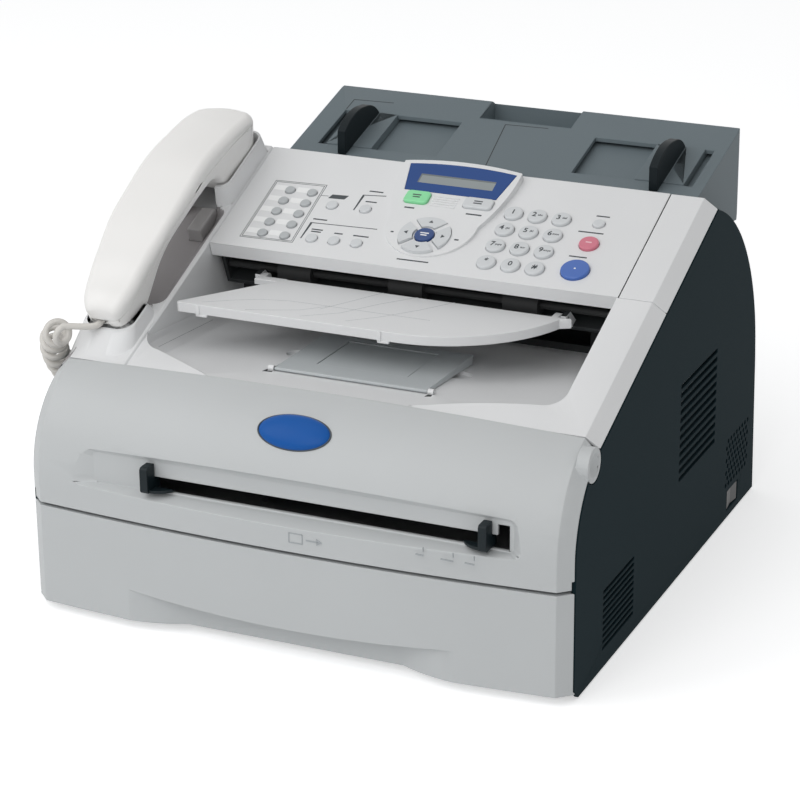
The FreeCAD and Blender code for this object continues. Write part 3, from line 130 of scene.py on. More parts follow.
def add(tree, kind, links=None, **settings):
    """Adds a node, sets its properties and input values, and links its inputs."""
    node = tree.nodes.new(kind)
    for name, value in settings.items():
        if name in node.bl_rna.properties:
            setattr(node, name, value)
        else:
            node.inputs[name.replace("_", " ")].default_value = value
    for name, source in (links or {}).items():
        tree.links.new(source, node.inputs[name])
    return node


def new_material(name):
    """An empty material and its node tree."""
    material = bpy.data.materials.new(name)
    material.use_nodes = True
    material.node_tree.nodes.clear()
    return material, material.node_tree


def rgba(rgb, shade=1.0):
    """A solid colour, made lighter or darker by a factor."""
    return (*[c * shade for c in rgb], 1.0)


def clouded(tree, spot, rgb, cloud_mm, low, high, detail):
    """A colour that drifts a little over the surface, as a moulded or printed one does."""
    cloud = add(tree, "ShaderNodeTexNoise", {"Vector": spot}, Scale=1000 / cloud_mm, Detail=detail)
    tone = add(tree, "ShaderNodeMix", {"Factor": cloud.outputs["Fac"]}, data_type="RGBA")
    tone.inputs[MIX_FIRST].default_value = rgba(rgb, low)
    tone.inputs[MIX_SECOND].default_value = rgba(rgb, high)
    return tone.outputs[MIX_RESULT]


def grained(name, rgb, rough, grain_mm, depth_mm, shine):
    """A solid plastic, rubber or ink film with an even fine grain that breaks up its reflections."""
    material, tree = new_material(name)
    spot = add(tree, "ShaderNodeTexCoord").outputs["Object"]
    scale = 1000 / grain_mm
    noise = add(tree, "ShaderNodeTexNoise", {"Vector": spot}, Scale=scale, Detail=2.0, Roughness=0.6)
    grain = noise.outputs["Fac"]
    gloss = add(tree, "ShaderNodeMapRange", {"Value": grain}, To_Min=rough - 0.05, To_Max=rough + 0.07)
    bump = add(tree, "ShaderNodeBump", {"Height": grain}, Strength=0.35, Distance=depth_mm * MM)
    links = {
        "Base Color": clouded(tree, spot, rgb, 71.43, 0.96, 1.03, 3.0),
        "Roughness": gloss.outputs["Result"],
        "Normal": bump.outputs["Normal"],
    }
    shader = add(tree, "ShaderNodeBsdfPrincipled", links, IOR=1.53, Specular_IOR_Level=shine)
    add(tree, "ShaderNodeOutputMaterial", {"Surface": shader.outputs["BSDF"]})
    return material


def moulded_abs(name, rgb, rough=0.42, grain_mm=1.1, depth_mm=0.03, shine=0.5):
    """Injection moulded ABS: a spark-eroded tool leaves an even fine grain with a soft sheen.
    The real grain is near 0.2 mm; it is drawn coarser so that it shows."""
    return grained(name, rgb, rough, grain_mm, depth_mm, shine)


def key_abs(name, rgb, rough=0.3):
    """Polished ABS key cap: smoother than the case, so it has a brighter, tighter sheen."""
    return grained(name, rgb, rough, 1.4, 0.01, 0.5)


def soft_rubber(name, rgb, rough=0.75):
    """Moulded rubber or soft vinyl: matt with a fine dusty grain."""
    return grained(name, rgb, rough, 0.8, 0.04, 0.5)


def printed_ink(name, rgb):
    """Screen printed ink: flat, thin and a little uneven at its edges."""
    return grained(name, rgb, 0.6, 0.5, 0.01, 0.5)


def solder_resist(name, rgb):
    """Lacquered circuit board: a smooth coloured film with a soft sheen."""
    return grained(name, rgb, 0.35, 1.1, 0.03, 0.5)


def gloss_pane(name, rgb, rough, shine=0.5):
    """Printed acrylic pane: the colour lies under a clear smooth face, so it reflects sharply."""
    material, tree = new_material(name)
    spot = add(tree, "ShaderNodeTexCoord").outputs["Object"]
    shader = add(
        tree,
        "ShaderNodeBsdfPrincipled",
        {"Base Color": clouded(tree, spot, rgb, 25.0, 0.94, 1.05, 2.0)},
        Roughness=rough,
        IOR=1.49,
        Specular_IOR_Level=shine,
    )
    add(tree, "ShaderNodeOutputMaterial", {"Surface": shader.outputs["BSDF"]})
    return material


def rolled_steel(name, rgb, rough=0.38):
    """Zinc plated sheet steel: grey metal with faint cloudy spangle, about 5.5 mm across."""
    material, tree = new_material(name)
    spot = add(tree, "ShaderNodeTexCoord").outputs["Object"]
    cells = add(tree, "ShaderNodeTexVoronoi", {"Vector": spot}, Scale=1000 / 5.556)
    spangle = cells.outputs["Distance"]
    gloss = add(tree, "ShaderNodeMapRange", {"Value": spangle}, To_Min=rough, To_Max=rough + 0.12)
    links = {"Roughness": gloss.outputs["Result"]}
    shader = add(tree, "ShaderNodeBsdfPrincipled", links, Base_Color=rgba(rgb), Metallic=1.0)
    add(tree, "ShaderNodeOutputMaterial", {"Surface": shader.outputs["BSDF"]})
    return material


FINISH = {}


def finishes():
    """Makes every finish once, under the name that the pieces ask for."""
    colours = bpy.context.scene.fax_colours
    FINISH.update(
        top=moulded_abs("light_grey_abs", colours.top),
        front=moulded_abs("front_grey_abs", colours.front, 0.46),
        handset=moulded_abs("handset_abs", colours.handset, 0.36, 1.4, 0.02),
        hook=moulded_abs("hook_abs", linear("#A3A1A1"), 0.45),
        # Painted shade: the trough's grey is darker than the case's plastic because the handset shades the
        # trough
        lining=moulded_abs("trough_painted_shade_abs", linear("#9C999A"), 0.6, 1.0, 0.05, 0.2),
        dark=moulded_abs("slate_grained_abs", colours.dark, 0.62, 1.0, 0.07, 0.03),
        support=moulded_abs("support_grained_abs", colours.support, 0.55, 1.0, 0.06, 0.2),
        fin=moulded_abs("guide_fin_abs", linear("#0C161A"), 0.5, 1.0, 0.03, 0.15),
        flap=moulded_abs("flap_abs", colours.flap, 0.45, 1.1, 0.03, 0.3),
        guide=moulded_abs("guide_abs", colours.guide, 0.45, 1.0, 0.03, 0.2),
        key=key_abs("key_abs", colours.key, 0.34),
        hub=gloss_pane("menu_key_acrylic", [c * 0.8 for c in colours.window], 0.25),
        window=gloss_pane("display_acrylic", colours.window, 0.16, 0.25),
        badge=gloss_pane("badge_enamel", colours.badge, 0.3, 0.12),
        lcd=gloss_pane("liquid_crystal", linear("#8E9596"), 0.2),
        fax_key=key_abs("green_key_abs", colours.fax_key),
        stop_key=key_abs("rose_key_abs", colours.stop_key),
        start_key=key_abs("blue_key_abs", colours.start_key),
        ink=printed_ink("panel_ink", colours.ink),
        white_ink=printed_ink("label_white_ink", linear("#F3F4F4")),
        steel=rolled_steel("zinc_plated_steel", linear("#B9BCBE")),
        rubber=soft_rubber("black_rubber", linear("#1C1D1E")),
        works=moulded_abs("black_glass_filled_abs", linear("#191B1C"), 0.55),
        board=solder_resist("circuit_board_resist", linear("#1E5A36")),
        cord=soft_rubber("cord_vinyl", linear("#D6D3CE"), 0.5),
        black=moulded_abs("black_abs", linear("#101213"), 0.4),
        # Near black painted shade on faces of light grey mouldings in the throat and the deck's mouth under
        # the panel, where they lie in shadow
        shadow=moulded_abs("throat_painted_shade_abs", linear("#15191B"), 0.7),
        seam=printed_ink("seam_shadow", linear("#6F7578")),
        # Near black painted shade in grooves, gaps and holes: the support's engraving, the sound holes and
        # the gaps round the output flap
        engraved=printed_ink("engraved_line", linear("#14191B")),
        # Darker grey painted shade that makes moulded marks and lines stand out from the same plastic
        emboss=printed_ink("moulded_mark_shade", linear("#A3A8AB")),
        rim=moulded_abs("badge_rim_abs", linear("#2B3742"), 0.35),
        dome_key=key_abs("dome_key_abs", linear("#B4B8BA")),
        # Painted shade along the display's upper and left edges
        lcd_shade=gloss_pane("liquid_crystal_painted_shade", linear("#6C7375"), 0.2),
        red_mark=printed_ink("pale_key_mark", linear("#F1C9D0")),
    )


# Modelling helpers

# A CAD mesh is merged within this distance, and its faces are joined where they are flatter than this
WELD = 0.004 * MM
FLAT_DEG = 0.6


def piece(name, mesh, body, finish):
    """Links a finished mesh as a piece that rides on a CAD body."""
    obj = bpy.data.objects.new(name, mesh)
    bpy.context.scene.collection.objects.link(obj)
    mesh.materials.clear()
    mesh.materials.append(FINISH[finish])
    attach(obj, body)
    return obj


def mesh_from(bm, name, matrix=None, smooth=40.0):
    """A mesh of a finished bmesh, put in its place and shaded smooth up to an angle in degrees."""
    if matrix is not None:
        bmesh.ops.transform(bm, matrix=matrix, verts=bm.verts)
    bmesh.ops.recalc_face_normals(bm, faces=bm.faces)
    mesh = bpy.data.meshes.new(name)
    bm.to_mesh(mesh)
    bm.free()
    for polygon in mesh.polygons:
        polygon.use_smooth = True
    mesh.set_sharp_from_angle(angle=math.radians(smooth))
    return mesh


def moulding(node, finish, edge, corner=32.0, fold=None, inside=None, inner="shadow", outer=None):
    """A CAD node's shape with its corners rounded as a mould leaves them; it stands for the node.
    Faces that inside picks by their middle, in millimetres, take the inner finish, and where outer is
    given, only edges that it picks are rounded."""
    bm = bmesh.new()
    bm.from_mesh(NODES[node].data)
    bmesh.ops.remove_doubles(bm, verts=bm.verts, dist=WELD)
    bmesh.ops.dissolve_limit(bm, angle_limit=math.radians(FLAT_DEG), verts=bm.verts, edges=bm.edges)
    mesh = mesh_from(bm, node + "_moulding", smooth=fold or corner)
    obj = piece(node + "_moulding", mesh, BODY_OF[node], finish)
    # Picked faces take the inner finish, which is the throat's painted shade unless another is given
    if inside:
        mesh.materials.append(FINISH[inner])
        for polygon in mesh.polygons:
            polygon.material_index = int(inside(polygon.center / MM))
    if edge > 0:
        bevel = obj.modifiers.new("Moulded edge", "BEVEL")
        bevel.width = edge
        bevel.segments = 2
        bevel.limit_method = "ANGLE"
        bevel.angle_limit = math.radians(corner)
        bevel.harden_normals = True
        bevel.use_clamp_overlap = False
        if outer:
            bevel.limit_method = "WEIGHT"
            weights = mesh.attributes.new("bevel_weight_edge", "FLOAT", "EDGE")
            for line in mesh.edges:
                ends = [mesh.vertices[i].co / MM for i in line.vertices]
                sharp = line.use_edge_sharp and outer((ends[0] + ends[1]) / 2)
                weights.data[line.index].value = float(sharp)
    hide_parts(node)
    return obj


def paint(node, finish):
    """Keeps a CAD node and gives it a finish."""
    mesh = NODES[node].data
    if not mesh.materials:
        mesh.materials.append(FINISH[finish])
    for slot in NODES[node].material_slots:
        slot.material = FINISH[finish]


def bar(bm, x, y, z):
    """Adds a box between two corners to a bmesh, in millimetres."""
    size = Matrix.Diagonal(((x[1] - x[0]) * MM, (y[1] - y[0]) * MM, (z[1] - z[0]) * MM, 1))
    centre = Vector((sum(x) / 2, sum(y) / 2, sum(z) / 2)) * MM
    return bmesh.ops.create_cube(bm, size=1.0, matrix=Matrix.Translation(centre) @ size)["verts"]


def stroke(bm, start, end, width, h):
    """Adds a flat printed line from start to end on the panel, in millimetres."""
    a, b = Vector(start), Vector(end)
    along = b - a
    turn = Matrix.Rotation(math.atan2(along.y, along.x), 4, "Z")
    middle = (a + b) / 2
    place = Matrix.Translation(Vector((middle.x, middle.y, sum(h) / 2)) * MM)
    size = Matrix.Diagonal((along.length * MM, width * MM, (h[1] - h[0]) * MM, 1))
    bmesh.ops.create_cube(bm, size=1.0, matrix=place @ turn @ size)


def outline(bm, corners, width, h):
    """Adds printed lines from corner to corner and back to the first."""
    for start, end in zip(corners, corners[1:] + corners[:1]):
        stroke(bm, start, end, width, h)


def plaque(bm, corners, h):
    """Adds a thin flat plate with the given corners, in millimetres."""
    face = bm.faces.new([bm.verts.new(Vector((x, y, h[0])) * MM) for x, y in corners])
    raised = bmesh.ops.extrude_face_region(bm, geom=[face])["geom"]
    verts = [v for v in raised if isinstance(v, bmesh.types.BMVert)]
    bmesh.ops.translate(bm, vec=(0, 0, (h[1] - h[0]) * MM), verts=verts)


def soften(bm, edge):
    """Rounds every edge of a bmesh, in millimetres."""
    bmesh.ops.bevel(
        bm,
        geom=bm.edges[:],
        offset=edge * MM,
        offset_type="OFFSET",
        affect="EDGES",
        segments=2,
        profile=0.5,
        material=-1,
    )


def ring_points(x, y, radius, count):
    """Evenly spaced points on a circle."""
    turns = [2 * math.pi * i / count for i in range(count)]
    return [(x + radius * math.cos(a), y + radius * math.sin(a)) for a in turns]


def mesh_of_curve(curve):
    """Turns a curve or text into its mesh."""
    obj = bpy.data.objects.new("curve", curve)
    bpy.context.scene.collection.objects.link(obj)
    graph = bpy.context.evaluated_depsgraph_get()
    mesh = bpy.data.meshes.new_from_object(obj.evaluated_get(graph))
    bpy.data.objects.remove(obj)
    bpy.data.curves.remove(curve)
    return mesh


def lettering(text, height, matrix):
    """A word or digit as a thin raised mesh."""
    curve = bpy.data.curves.new("lettering", "FONT")
    curve.body = text
    curve.size = height
    curve.extrude = 0.05 * MM
    curve.offset = 0.02 * height
    curve.align_x = "CENTER"
    curve.align_y = "CENTER"
    curve.resolution_u = 3
    mesh = mesh_of_curve(curve)
    mesh.transform(matrix)
    return mesh


def on_slope(x, s, h):
    """A frame on the sloping top, at a place in millimetres."""
    return SLOPE @ Matrix.Translation(Vector((x, s, h)) * MM)


def on_plane(y, z, degrees):
    """A frame whose second axis climbs to the back at an angle from the point (y, z)."""
    return Matrix.Translation(Vector((0, y, z)) * MM) @ Matrix.Rotation(math.radians(degrees), 4, "X")


# Frames of the sunk deck, the document support's top, the display's dome and the upright front
DECK = on_plane(-134.9, 159.4, -5.0)
SUPPORT = on_plane(88.3, 240.0, math.degrees(math.atan(0.2577)))
DOME_FOOT_S = 140.0
DOME = SLOPE @ on_plane(DOME_FOOT_S, 1.2, math.degrees(math.atan(4.8 / 98)))
FRONT = Matrix.Rotation(math.radians(90), 4, "X")

# Where the painted shade in the throat, the trough and the deck's mouth, the rounded panel rim and the
# guides' dark fins start, in millimetres: x across, s up the slope and h over it
THROAT_X, THROAT_S, THROAT_H, THROAT_Z = (-133.0, 155.4), 128.0, -3.2, 140.0
TROUGH_X, TROUGH_S, TROUGH_H = (-181.0, -136.6), (58.0, 168.0), -0.4
DECK_MOUTH_X, DECK_MOUTH_Y = (-134.0, 152.0), 29.5
PANEL_RIM_X, PANEL_RIM_S, PANEL_RIM_H = (-133.0, 151.0), 128.0, -4.5
FIN_H = 2.2


def slope_s(point):
    """Distance up the slope and height over it, of a point in millimetres."""
    local = SLOPE.inverted() @ (Vector(point) * MM)
    return local.y / MM, local.z / MM


def in_throat(point):
    """Whether a face lies in the document throat under the panel."""
    s, h = slope_s(point)
    across = THROAT_X[0] < point.x < THROAT_X[1]
    return across and h < THROAT_H and s > THROAT_S and point.z > THROAT_Z


def in_trough(point):
    """Whether a face lies in the cradle's trough under the handset's grip."""
    s, h = slope_s(point)
    across = TROUGH_X[0] < point.x < TROUGH_X[1]
    return across and h < TROUGH_H and TROUGH_S[0] < s < TROUGH_S[1]


def in_deck_mouth(point):
    """Whether a face of the deck lies back under the panel, where printed sheets come out."""
    return point.y > DECK_MOUTH_Y and DECK_MOUTH_X[0] < point.x < DECK_MOUTH_X[1]


def on_panel_rim(point):
    """Whether an edge lies on the panel's outer rim."""
    s, h = slope_s(point)
    beside = point.x < PANEL_RIM_X[0] or point.x > PANEL_RIM_X[1]
    return h > PANEL_RIM_H and (beside or s < PANEL_RIM_S)


def on_fin(point):
    """Whether a face belongs to a document guide's upright fin."""
    local = SUPPORT.inverted() @ (Vector(point) * MM)
    return local.z > FIN_H * MM


class FaxOperator:
    """What every button of the sidebar shares."""

    bl_options = {"REGISTER", "UNDO"}


# Body

# Faces that meet at a flatter angle than this, in degrees, show no fold on the front
FOLD_DEG = 13.0
# The cradle's seam, and the gaps round the output flap drawn as painted shadow: x, distance back from the
# deck's front, height
DECK_SEAM = ((-130.9, -130.4), (36.0, 112.0), (1.0, 2.62))
FLAP_GAPS = (
    ((-51.5, 26.8), (-45.2, 27.8), (-46.4, 34.8), (-49.5, 40.0)),
    ((60.5, 25.0), (64.0, 27.0), (63.0, 36.0), (60.5, 34.0)),
)
FLAP_GAP_H = (-0.3, 0.05)
# The badge lies on the front's roll: the roll's middle (y, z) and radius, and the badge's lean from upright
ROLL_MIDDLE = (-117.0, 91.31)
ROLL_RADIUS = 71.7
BADGE_LEAN = math.radians(42.0)
BADGE_X = -1.8
BADGE_HALF = (24.2, 11.9)
RIM_RADIUS = 0.55
RIM_POINTS = 64
# Moulded marks on the front, as x and z, and how far forward they reach
MARK_DEPTH = (187.9, 188.75)
SHEET_CORNERS = ((4.5, 82.4), (4.5, 88.6), (13.5, 88.6), (13.5, 82.4))
ARROW_LINE = ((16.0, 85.4), (24.0, 85.4))
ARROW_HEAD = ((23.0, 83.2), (26.6, 85.4), (23.0, 87.6))
# Ticks of the paper scale: x, foot and width of the line under each
SCALE_TICKS = ((93.3, 91.6, 5.0), (112.6, 91.2, 8.0), (126.1, 91.4, 6.0))


class FAX_OT_body(FaxOperator, bpy.types.Operator):
    """Front cover, paper tray, deck, side covers and rear cover"""

    bl_idname = "fax.body"
    bl_label = "Body"

    def execute(self, context):
        sizes = context.scene.fax_sizes
        for node in ("front_cover", "paper_tray"):
            moulding(node, "front", sizes.edge, fold=FOLD_DEG)
        # The deck's faces back under the panel are painted in shade
        moulding("top_deck", "top", sizes.edge, inside=in_deck_mouth)
        # The cradle's faces in the trough under the handset take the darker grey of painted shade
        moulding("handset_cradle", "top", sizes.edge, inside=in_trough, inner="lining")
        # The feed frame's faces in the throat are painted in shade
        moulding("document_feed_frame", "top", sizes.edge, inside=in_throat)
        for node in ("right_side_cover", "left_side_cover", "rear_cover", "rear_door"):
            moulding(node, "dark", sizes.edge)
        moulding("front_badge", "badge", 0)
        moulding("power_switch", "black", sizes.fine_edge)
        for node in ("left_feed_guide", "right_feed_guide"):
            moulding(node, "guide", sizes.edge)
        for node in ("output_flap", "output_flap_extension"):
            moulding(node, "flap", sizes.fine_edge)
        self.seams()
        self.badge_rim()
        self.front_marks()
        return {"FINISHED"}

    def seams(self):
        """The cradle's seam along the sunk deck, and shaded gaps round the output flap's well."""
        bm = bmesh.new()
        bar(bm, *DECK_SEAM)
        piece("deck_seam", mesh_from(bm, "deck_seam", DECK), "machine_body", "seam")
        # The flap's gaps are near black plates laid flat on the deck: painted shadow
        bm = bmesh.new()
        for route in FLAP_GAPS:
            plaque(bm, route, FLAP_GAP_H)
        piece("flap_gaps", mesh_from(bm, "flap_gaps", DECK), "machine_body", "engraved")

    def badge_rim(self):
        """A dark oval rim round the bare badge, laid on the roll of the cover."""
        curve = bpy.data.curves.new("badge_rim", "CURVE")
        curve.dimensions = "3D"
        curve.bevel_depth = RIM_RADIUS * MM
        curve.bevel_resolution = 2
        spline = curve.splines.new("POLY")
        spline.use_cyclic_u = True
        spline.points.add(RIM_POINTS - 1)
        for i, point in enumerate(spline.points):
            a = 2 * math.pi * i / RIM_POINTS
            x = BADGE_X + BADGE_HALF[0] * math.cos(a)
            lean = BADGE_LEAN - BADGE_HALF[1] * math.sin(a) / ROLL_RADIUS
            y = ROLL_MIDDLE[0] - ROLL_RADIUS * math.sin(lean)
            z = ROLL_MIDDLE[1] + ROLL_RADIUS * math.cos(lean)
            point.co = (*(Vector((x, y, z)) * MM), 1)
        mesh = mesh_of_curve(curve)
        for polygon in mesh.polygons:
            polygon.use_smooth = True
        piece("badge_rim", mesh, "front_cover", "rim")

    def front_marks(self):
        """A moulded sheet and arrow under the hand-feed slot, and the ticks of a paper scale."""
        bm = bmesh.new()
        outline(bm, SHEET_CORNERS, 0.6, MARK_DEPTH)
        stroke(bm, *ARROW_LINE, 0.8, MARK_DEPTH)
        plaque(bm, ARROW_HEAD, MARK_DEPTH)
        for x, low, width in SCALE_TICKS:
            stroke(bm, (x, low), (x, low + 2.8), 0.5, MARK_DEPTH)
            stroke(bm, (x - width, low - 2.4), (x, low - 2.6), 0.7, MARK_DEPTH)
        # The moulded marks are darker grey: painted shade of their relief
        piece("feed_icon", mesh_from(bm, "feed_icon", FRONT), "front_cover", "emboss")


STEEL_PIECES = ("chassis_frame", "cover_screws", "tray_lift_plate")
RUBBER_PIECES = ("rubber_feet", "feed_roller", "exit_roller", "pickup_roller")
BLACK_UNITS = ("toner_cartridge", "drum_unit", "laser_unit", "fuser_unit", "power_supply", "image_sensor")


class FAX_OT_works(FaxOperator, bpy.types.Operator):
    """The chassis, rollers, units and boards inside"""

    bl_idname = "fax.works"
    bl_label = "Works"

    def execute(self, context):
        for node in STEEL_PIECES:
            paint(node, "steel")
        for node in RUBBER_PIECES:
            paint(node, "rubber")
        for node in BLACK_UNITS:
            paint(node, "works")
        paint("main_board", "board")
        return {"FINISHED"}


# Panel: places are x across and s up the slope, in millimetres

# How far printing reaches below and above the face it lies on
PRINT_H = (-0.3, 0.1)
ONE_TOUCH_S = (188.4, 176.9, 165.4, 153.9, 142.1)
# White name strips beside the one-touch keys: right ends, width, and lower and upper edge from a key's middle
STRIP_RIGHT = (-105.6, -89.4)
STRIP_WIDTH = 8.6
STRIP_EDGES = (-0.4, 4.6)
STRIP_H = (-0.3, 0.08)
# A double frame round the one-touch keys, and two brackets as foot, bend and tip
FRAME_OUTER = ((-116.6, 197.3), (-79.3, 198.6), (-78.0, 136.9), (-116.2, 136.2))
FRAME_INNER = ((-115.4, 196.1), (-80.5, 197.2), (-79.2, 138.1), (-115.0, 137.4))
BRACKETS = (
    ((-50.5, 176.8), (-50.7, 193.1), (-34.2, 194.8)),
    ((-74.2, 142.2), (-74.4, 158.9), (-26.7, 160.6)),
)
# A dark tag, and the line that leads to it
DARK_TAG = ((-73.0, 185.6), (-61.4, 186.2), (-59.6, 190.4), (-71.4, 189.8))
TAG_LINE = ((-79.0, 187.4), (-73.4, 187.7))
# Plain bars beside the keys: x, s and width
PRINTED_BARS = (
    (-69.0, 163.0, 10.0),
    (-66.6, 152.6, 8.0),
    (-66.6, 150.4, 7.0),
    (-50.7, 151.4, 6.0),
    (-34.6, 151.6, 11.0),
    (-42.7, 198.0, 10.0),
    (-42.0, 187.0, 8.0),
    (9.0, 134.6, 22.0),
    (114.0, 184.0, 17.0),
    (114.0, 159.0, 12.0),
    (116.5, 201.2, 9.0),
)
DOME_BARS = ((-12.0, 182.6, 7.0), (33.4, 183.4, 11.0), (-14.5, 158.0, 2.0), (31.0, 158.0, 3.0))
# Fine ridges between the mode keys, as x, first place up the dome, spacing and width
RIDGE_X, RIDGE_FIRST, RIDGE_PITCH, RIDGE_WIDTH = (0.6, 18.4), 46.8, 2.2, 0.8
RIDGE_H = (-0.3, 0.55)
# The lit area of the display on the dome, and where its painted left shade ends and its painted upper shade
# starts
LIT_X, LIT_UP = (-16.2, 37.4), (67.7, 76.5)
SHADE_RIGHT, SHADE_LOW = -15.2, 75.1
# Moulded lines on the document tray, as x and y, their heights, and the middles of its two clips
TRAY_LINES = (
    ((-110.0, -75.8), (-92.1, -64.2), (-77.8, -56.8), (-58.5, -52.3), (-37.3, -51.9), (39.4, -51.8)),
    ((-77.9, -78.0), (-62.7, -72.8), (-45.0, -65.4), (-30.6, -51.2)),
    ((-34.0, -58.8), (-21.6, -37.1), (-9.4, -14.5)),
    ((-40.1, -75.7), (-19.0, -60.8), (-2.6, -35.5), (14.7, -14.5)),
    ((-9.8, -73.2), (7.6, -57.9), (25.7, -36.2), (40.5, -14.5)),
)
TRAY_LINE_Z = (184.3, 184.63)
TRAY_CLIPS = (-110.3, 17.5)
# A clip's face and the tongue under it, as y and z, half its width, and the tongue's reach to the right
CLIP_FACE = ((-82.3, -81.2), (177.6, 184.4))
CLIP_TONGUE = ((-82.0, -79.2), (176.6, 178.3))
CLIP_HALF = 1.3
TONGUE_REACH = 6.5


class FAX_OT_panel(FaxOperator, bpy.types.Operator):
    """Control panel, display and document tray"""

    bl_idname = "fax.panel"
    bl_label = "Panel"

    def execute(self, context):
        sizes = context.scene.fax_sizes
        # The panel's faces in the throat are painted in shade
        moulding("control_panel", "top", sizes.edge, inside=in_throat, outer=on_panel_rim)
        moulding("display_window", "window", sizes.fine_edge)
        moulding("display_module", "lcd", 0)
        moulding("document_output_tray", "top", sizes.edge)
        self.tray_lines()
        self.tray_clips()
        self.display()
        self.label_strips()
        self.printed_lines()
        self.dome_ridges()
        return {"FINISHED"}

    def tray_lines(self):
        """Faint moulded lines on the document tray that show where the sheets stack."""
        bm = bmesh.new()
        for route in TRAY_LINES:
            for start, end in zip(route, route[1:]):
                stroke(bm, start, end, 0.35, TRAY_LINE_Z)
        # The lines are darker grey: painted shade of their relief
        piece("tray_lines", mesh_from(bm, "tray_lines"), "document_output_tray", "emboss")

    def tray_clips(self):
        """Two small clips that wrap the document tray's front edge."""
        bm = bmesh.new()
        for x in TRAY_CLIPS:
            bar(bm, (x - CLIP_HALF, x + CLIP_HALF), *CLIP_FACE)
            bar(bm, (x - CLIP_HALF, x + TONGUE_REACH), *CLIP_TONGUE)
        soften(bm, 0.3)
        piece("tray_clips", mesh_from(bm, "tray_clips"), "document_output_tray", "top")

    def display(self):
        """The lit area of the display, with shaded upper and left edges."""
        bm = bmesh.new()
        bar(bm, LIT_X, LIT_UP, (0.1, 0.34))
        piece("display_area", mesh_from(bm, "display_area", DOME), "control_panel", "lcd")
        # The darker strips over its upper and left edges are painted shade
        bm = bmesh.new()
        bar(bm, LIT_X, (SHADE_LOW, LIT_UP[1]), (0.1, 0.38))
        bar(bm, (LIT_X[0], SHADE_RIGHT), LIT_UP, (0.1, 0.37))
        mesh = mesh_from(bm, "display_shade", DOME)
        piece("display_shade", mesh, "control_panel", "lcd_shade")

    def label_strips(self):
        """White strips for names beside the one-touch keys."""
        bm = bmesh.new()
        for s in ONE_TOUCH_S:
            for right in STRIP_RIGHT:
                bar(bm, (right - STRIP_WIDTH, right), [s + edge for edge in STRIP_EDGES], STRIP_H)
        piece("label_strips", mesh_from(bm, "label_strips", SLOPE), "control_panel", "white_ink")

    def printed_lines(self):
        """Frames, brackets and plain bars printed on the panel."""
        bm = bmesh.new()
        for corners in (FRAME_OUTER, FRAME_INNER):
            outline(bm, corners, 0.35, PRINT_H)
        for (x, s), bend, tip in BRACKETS:
            plaque(bm, ((x - 0.4, s), (x + 0.4, s), (bend[0] + 1.6, bend[1] - 0.6), bend), PRINT_H)
            stroke(bm, bend, tip, 0.6, PRINT_H)
        plaque(bm, DARK_TAG, PRINT_H)
        stroke(bm, *TAG_LINE, 0.35, PRINT_H)
        for x, s, width in PRINTED_BARS:
            stroke(bm, (x - width / 2, s), (x + width / 2, s + 0.01 * width), 1.1, PRINT_H)
        piece("panel_print", mesh_from(bm, "panel_print", SLOPE), "control_panel", "ink")
        bm = bmesh.new()
        for x, s, width in DOME_BARS:
            up = s - DOME_FOOT_S
            stroke(bm, (x - width / 2, up), (x + width / 2, up), 1.2, PRINT_H)
        piece("dome_print", mesh_from(bm, "dome_print", DOME), "control_panel", "ink")

    def dome_ridges(self):
        """Five fine ridges between the two mode keys."""
        bm = bmesh.new()
        for i in range(5):
            low = RIDGE_FIRST + RIDGE_PITCH * i
            bar(bm, RIDGE_X, (low, low + RIDGE_WIDTH), RIDGE_H)
        piece("dome_ridges", mesh_from(bm, "dome_ridges", DOME), "control_panel", "top")


# Engraved lines on the document support, as x and distance up its top
ENGRAVED = (
    ((-110.0, 61.2), (-110.0, 75.0), (-80.0, 76.0)),
    ((17.0, 2.0), (9.0, 64.0), (40.0, 65.0)),
)


class FAX_OT_support(FaxOperator, bpy.types.Operator):
    """Document support and its guides"""

    bl_idname = "fax.support"
    bl_label = "Document support"

    def execute(self, context):
        sizes = context.scene.fax_sizes
        moulding("document_support", "support", sizes.edge)
        for node in ("left_document_guide", "right_document_guide"):
            moulding(node, "support", sizes.edge, inside=on_fin, inner="fin")
        self.engraving()
        return {"FINISHED"}

    def engraving(self):
        """Engraved outlines on the support's sloping top."""
        bm = bmesh.new()
        for route in ENGRAVED:
            for start, end in zip(route, route[1:]):
                stroke(bm, start, end, 0.7, (-0.3, 0.04))
        # The grooves are drawn as near black strokes: painted shade
        piece("support_engraving", mesh_from(bm, "support_engraving", SUPPORT), "machine_body", "engraved")


# Keys and their finishes
PLAIN_KEYS = [n for n in NODES if n.startswith("digit_key") or n in ("star_key", "hash_key", "copy_mode_key")]
KEY_FINISH = {
    "start_key": "start_key",
    "stop_key": "stop_key",
    "fax_mode_key": "fax_key",
    "menu_key": "hub",
    "arrow_keys": "key",
    "one_touch_keys": "dome_key",
    "round_keys": "key",
}
# Middle of the arrow keys' ring, distance of their triangles from it, and the triangles' heights
NAV = (8.5, 158.0)
ARROW_OUT = 12.9
ARROW_H = (3.3, 3.56)
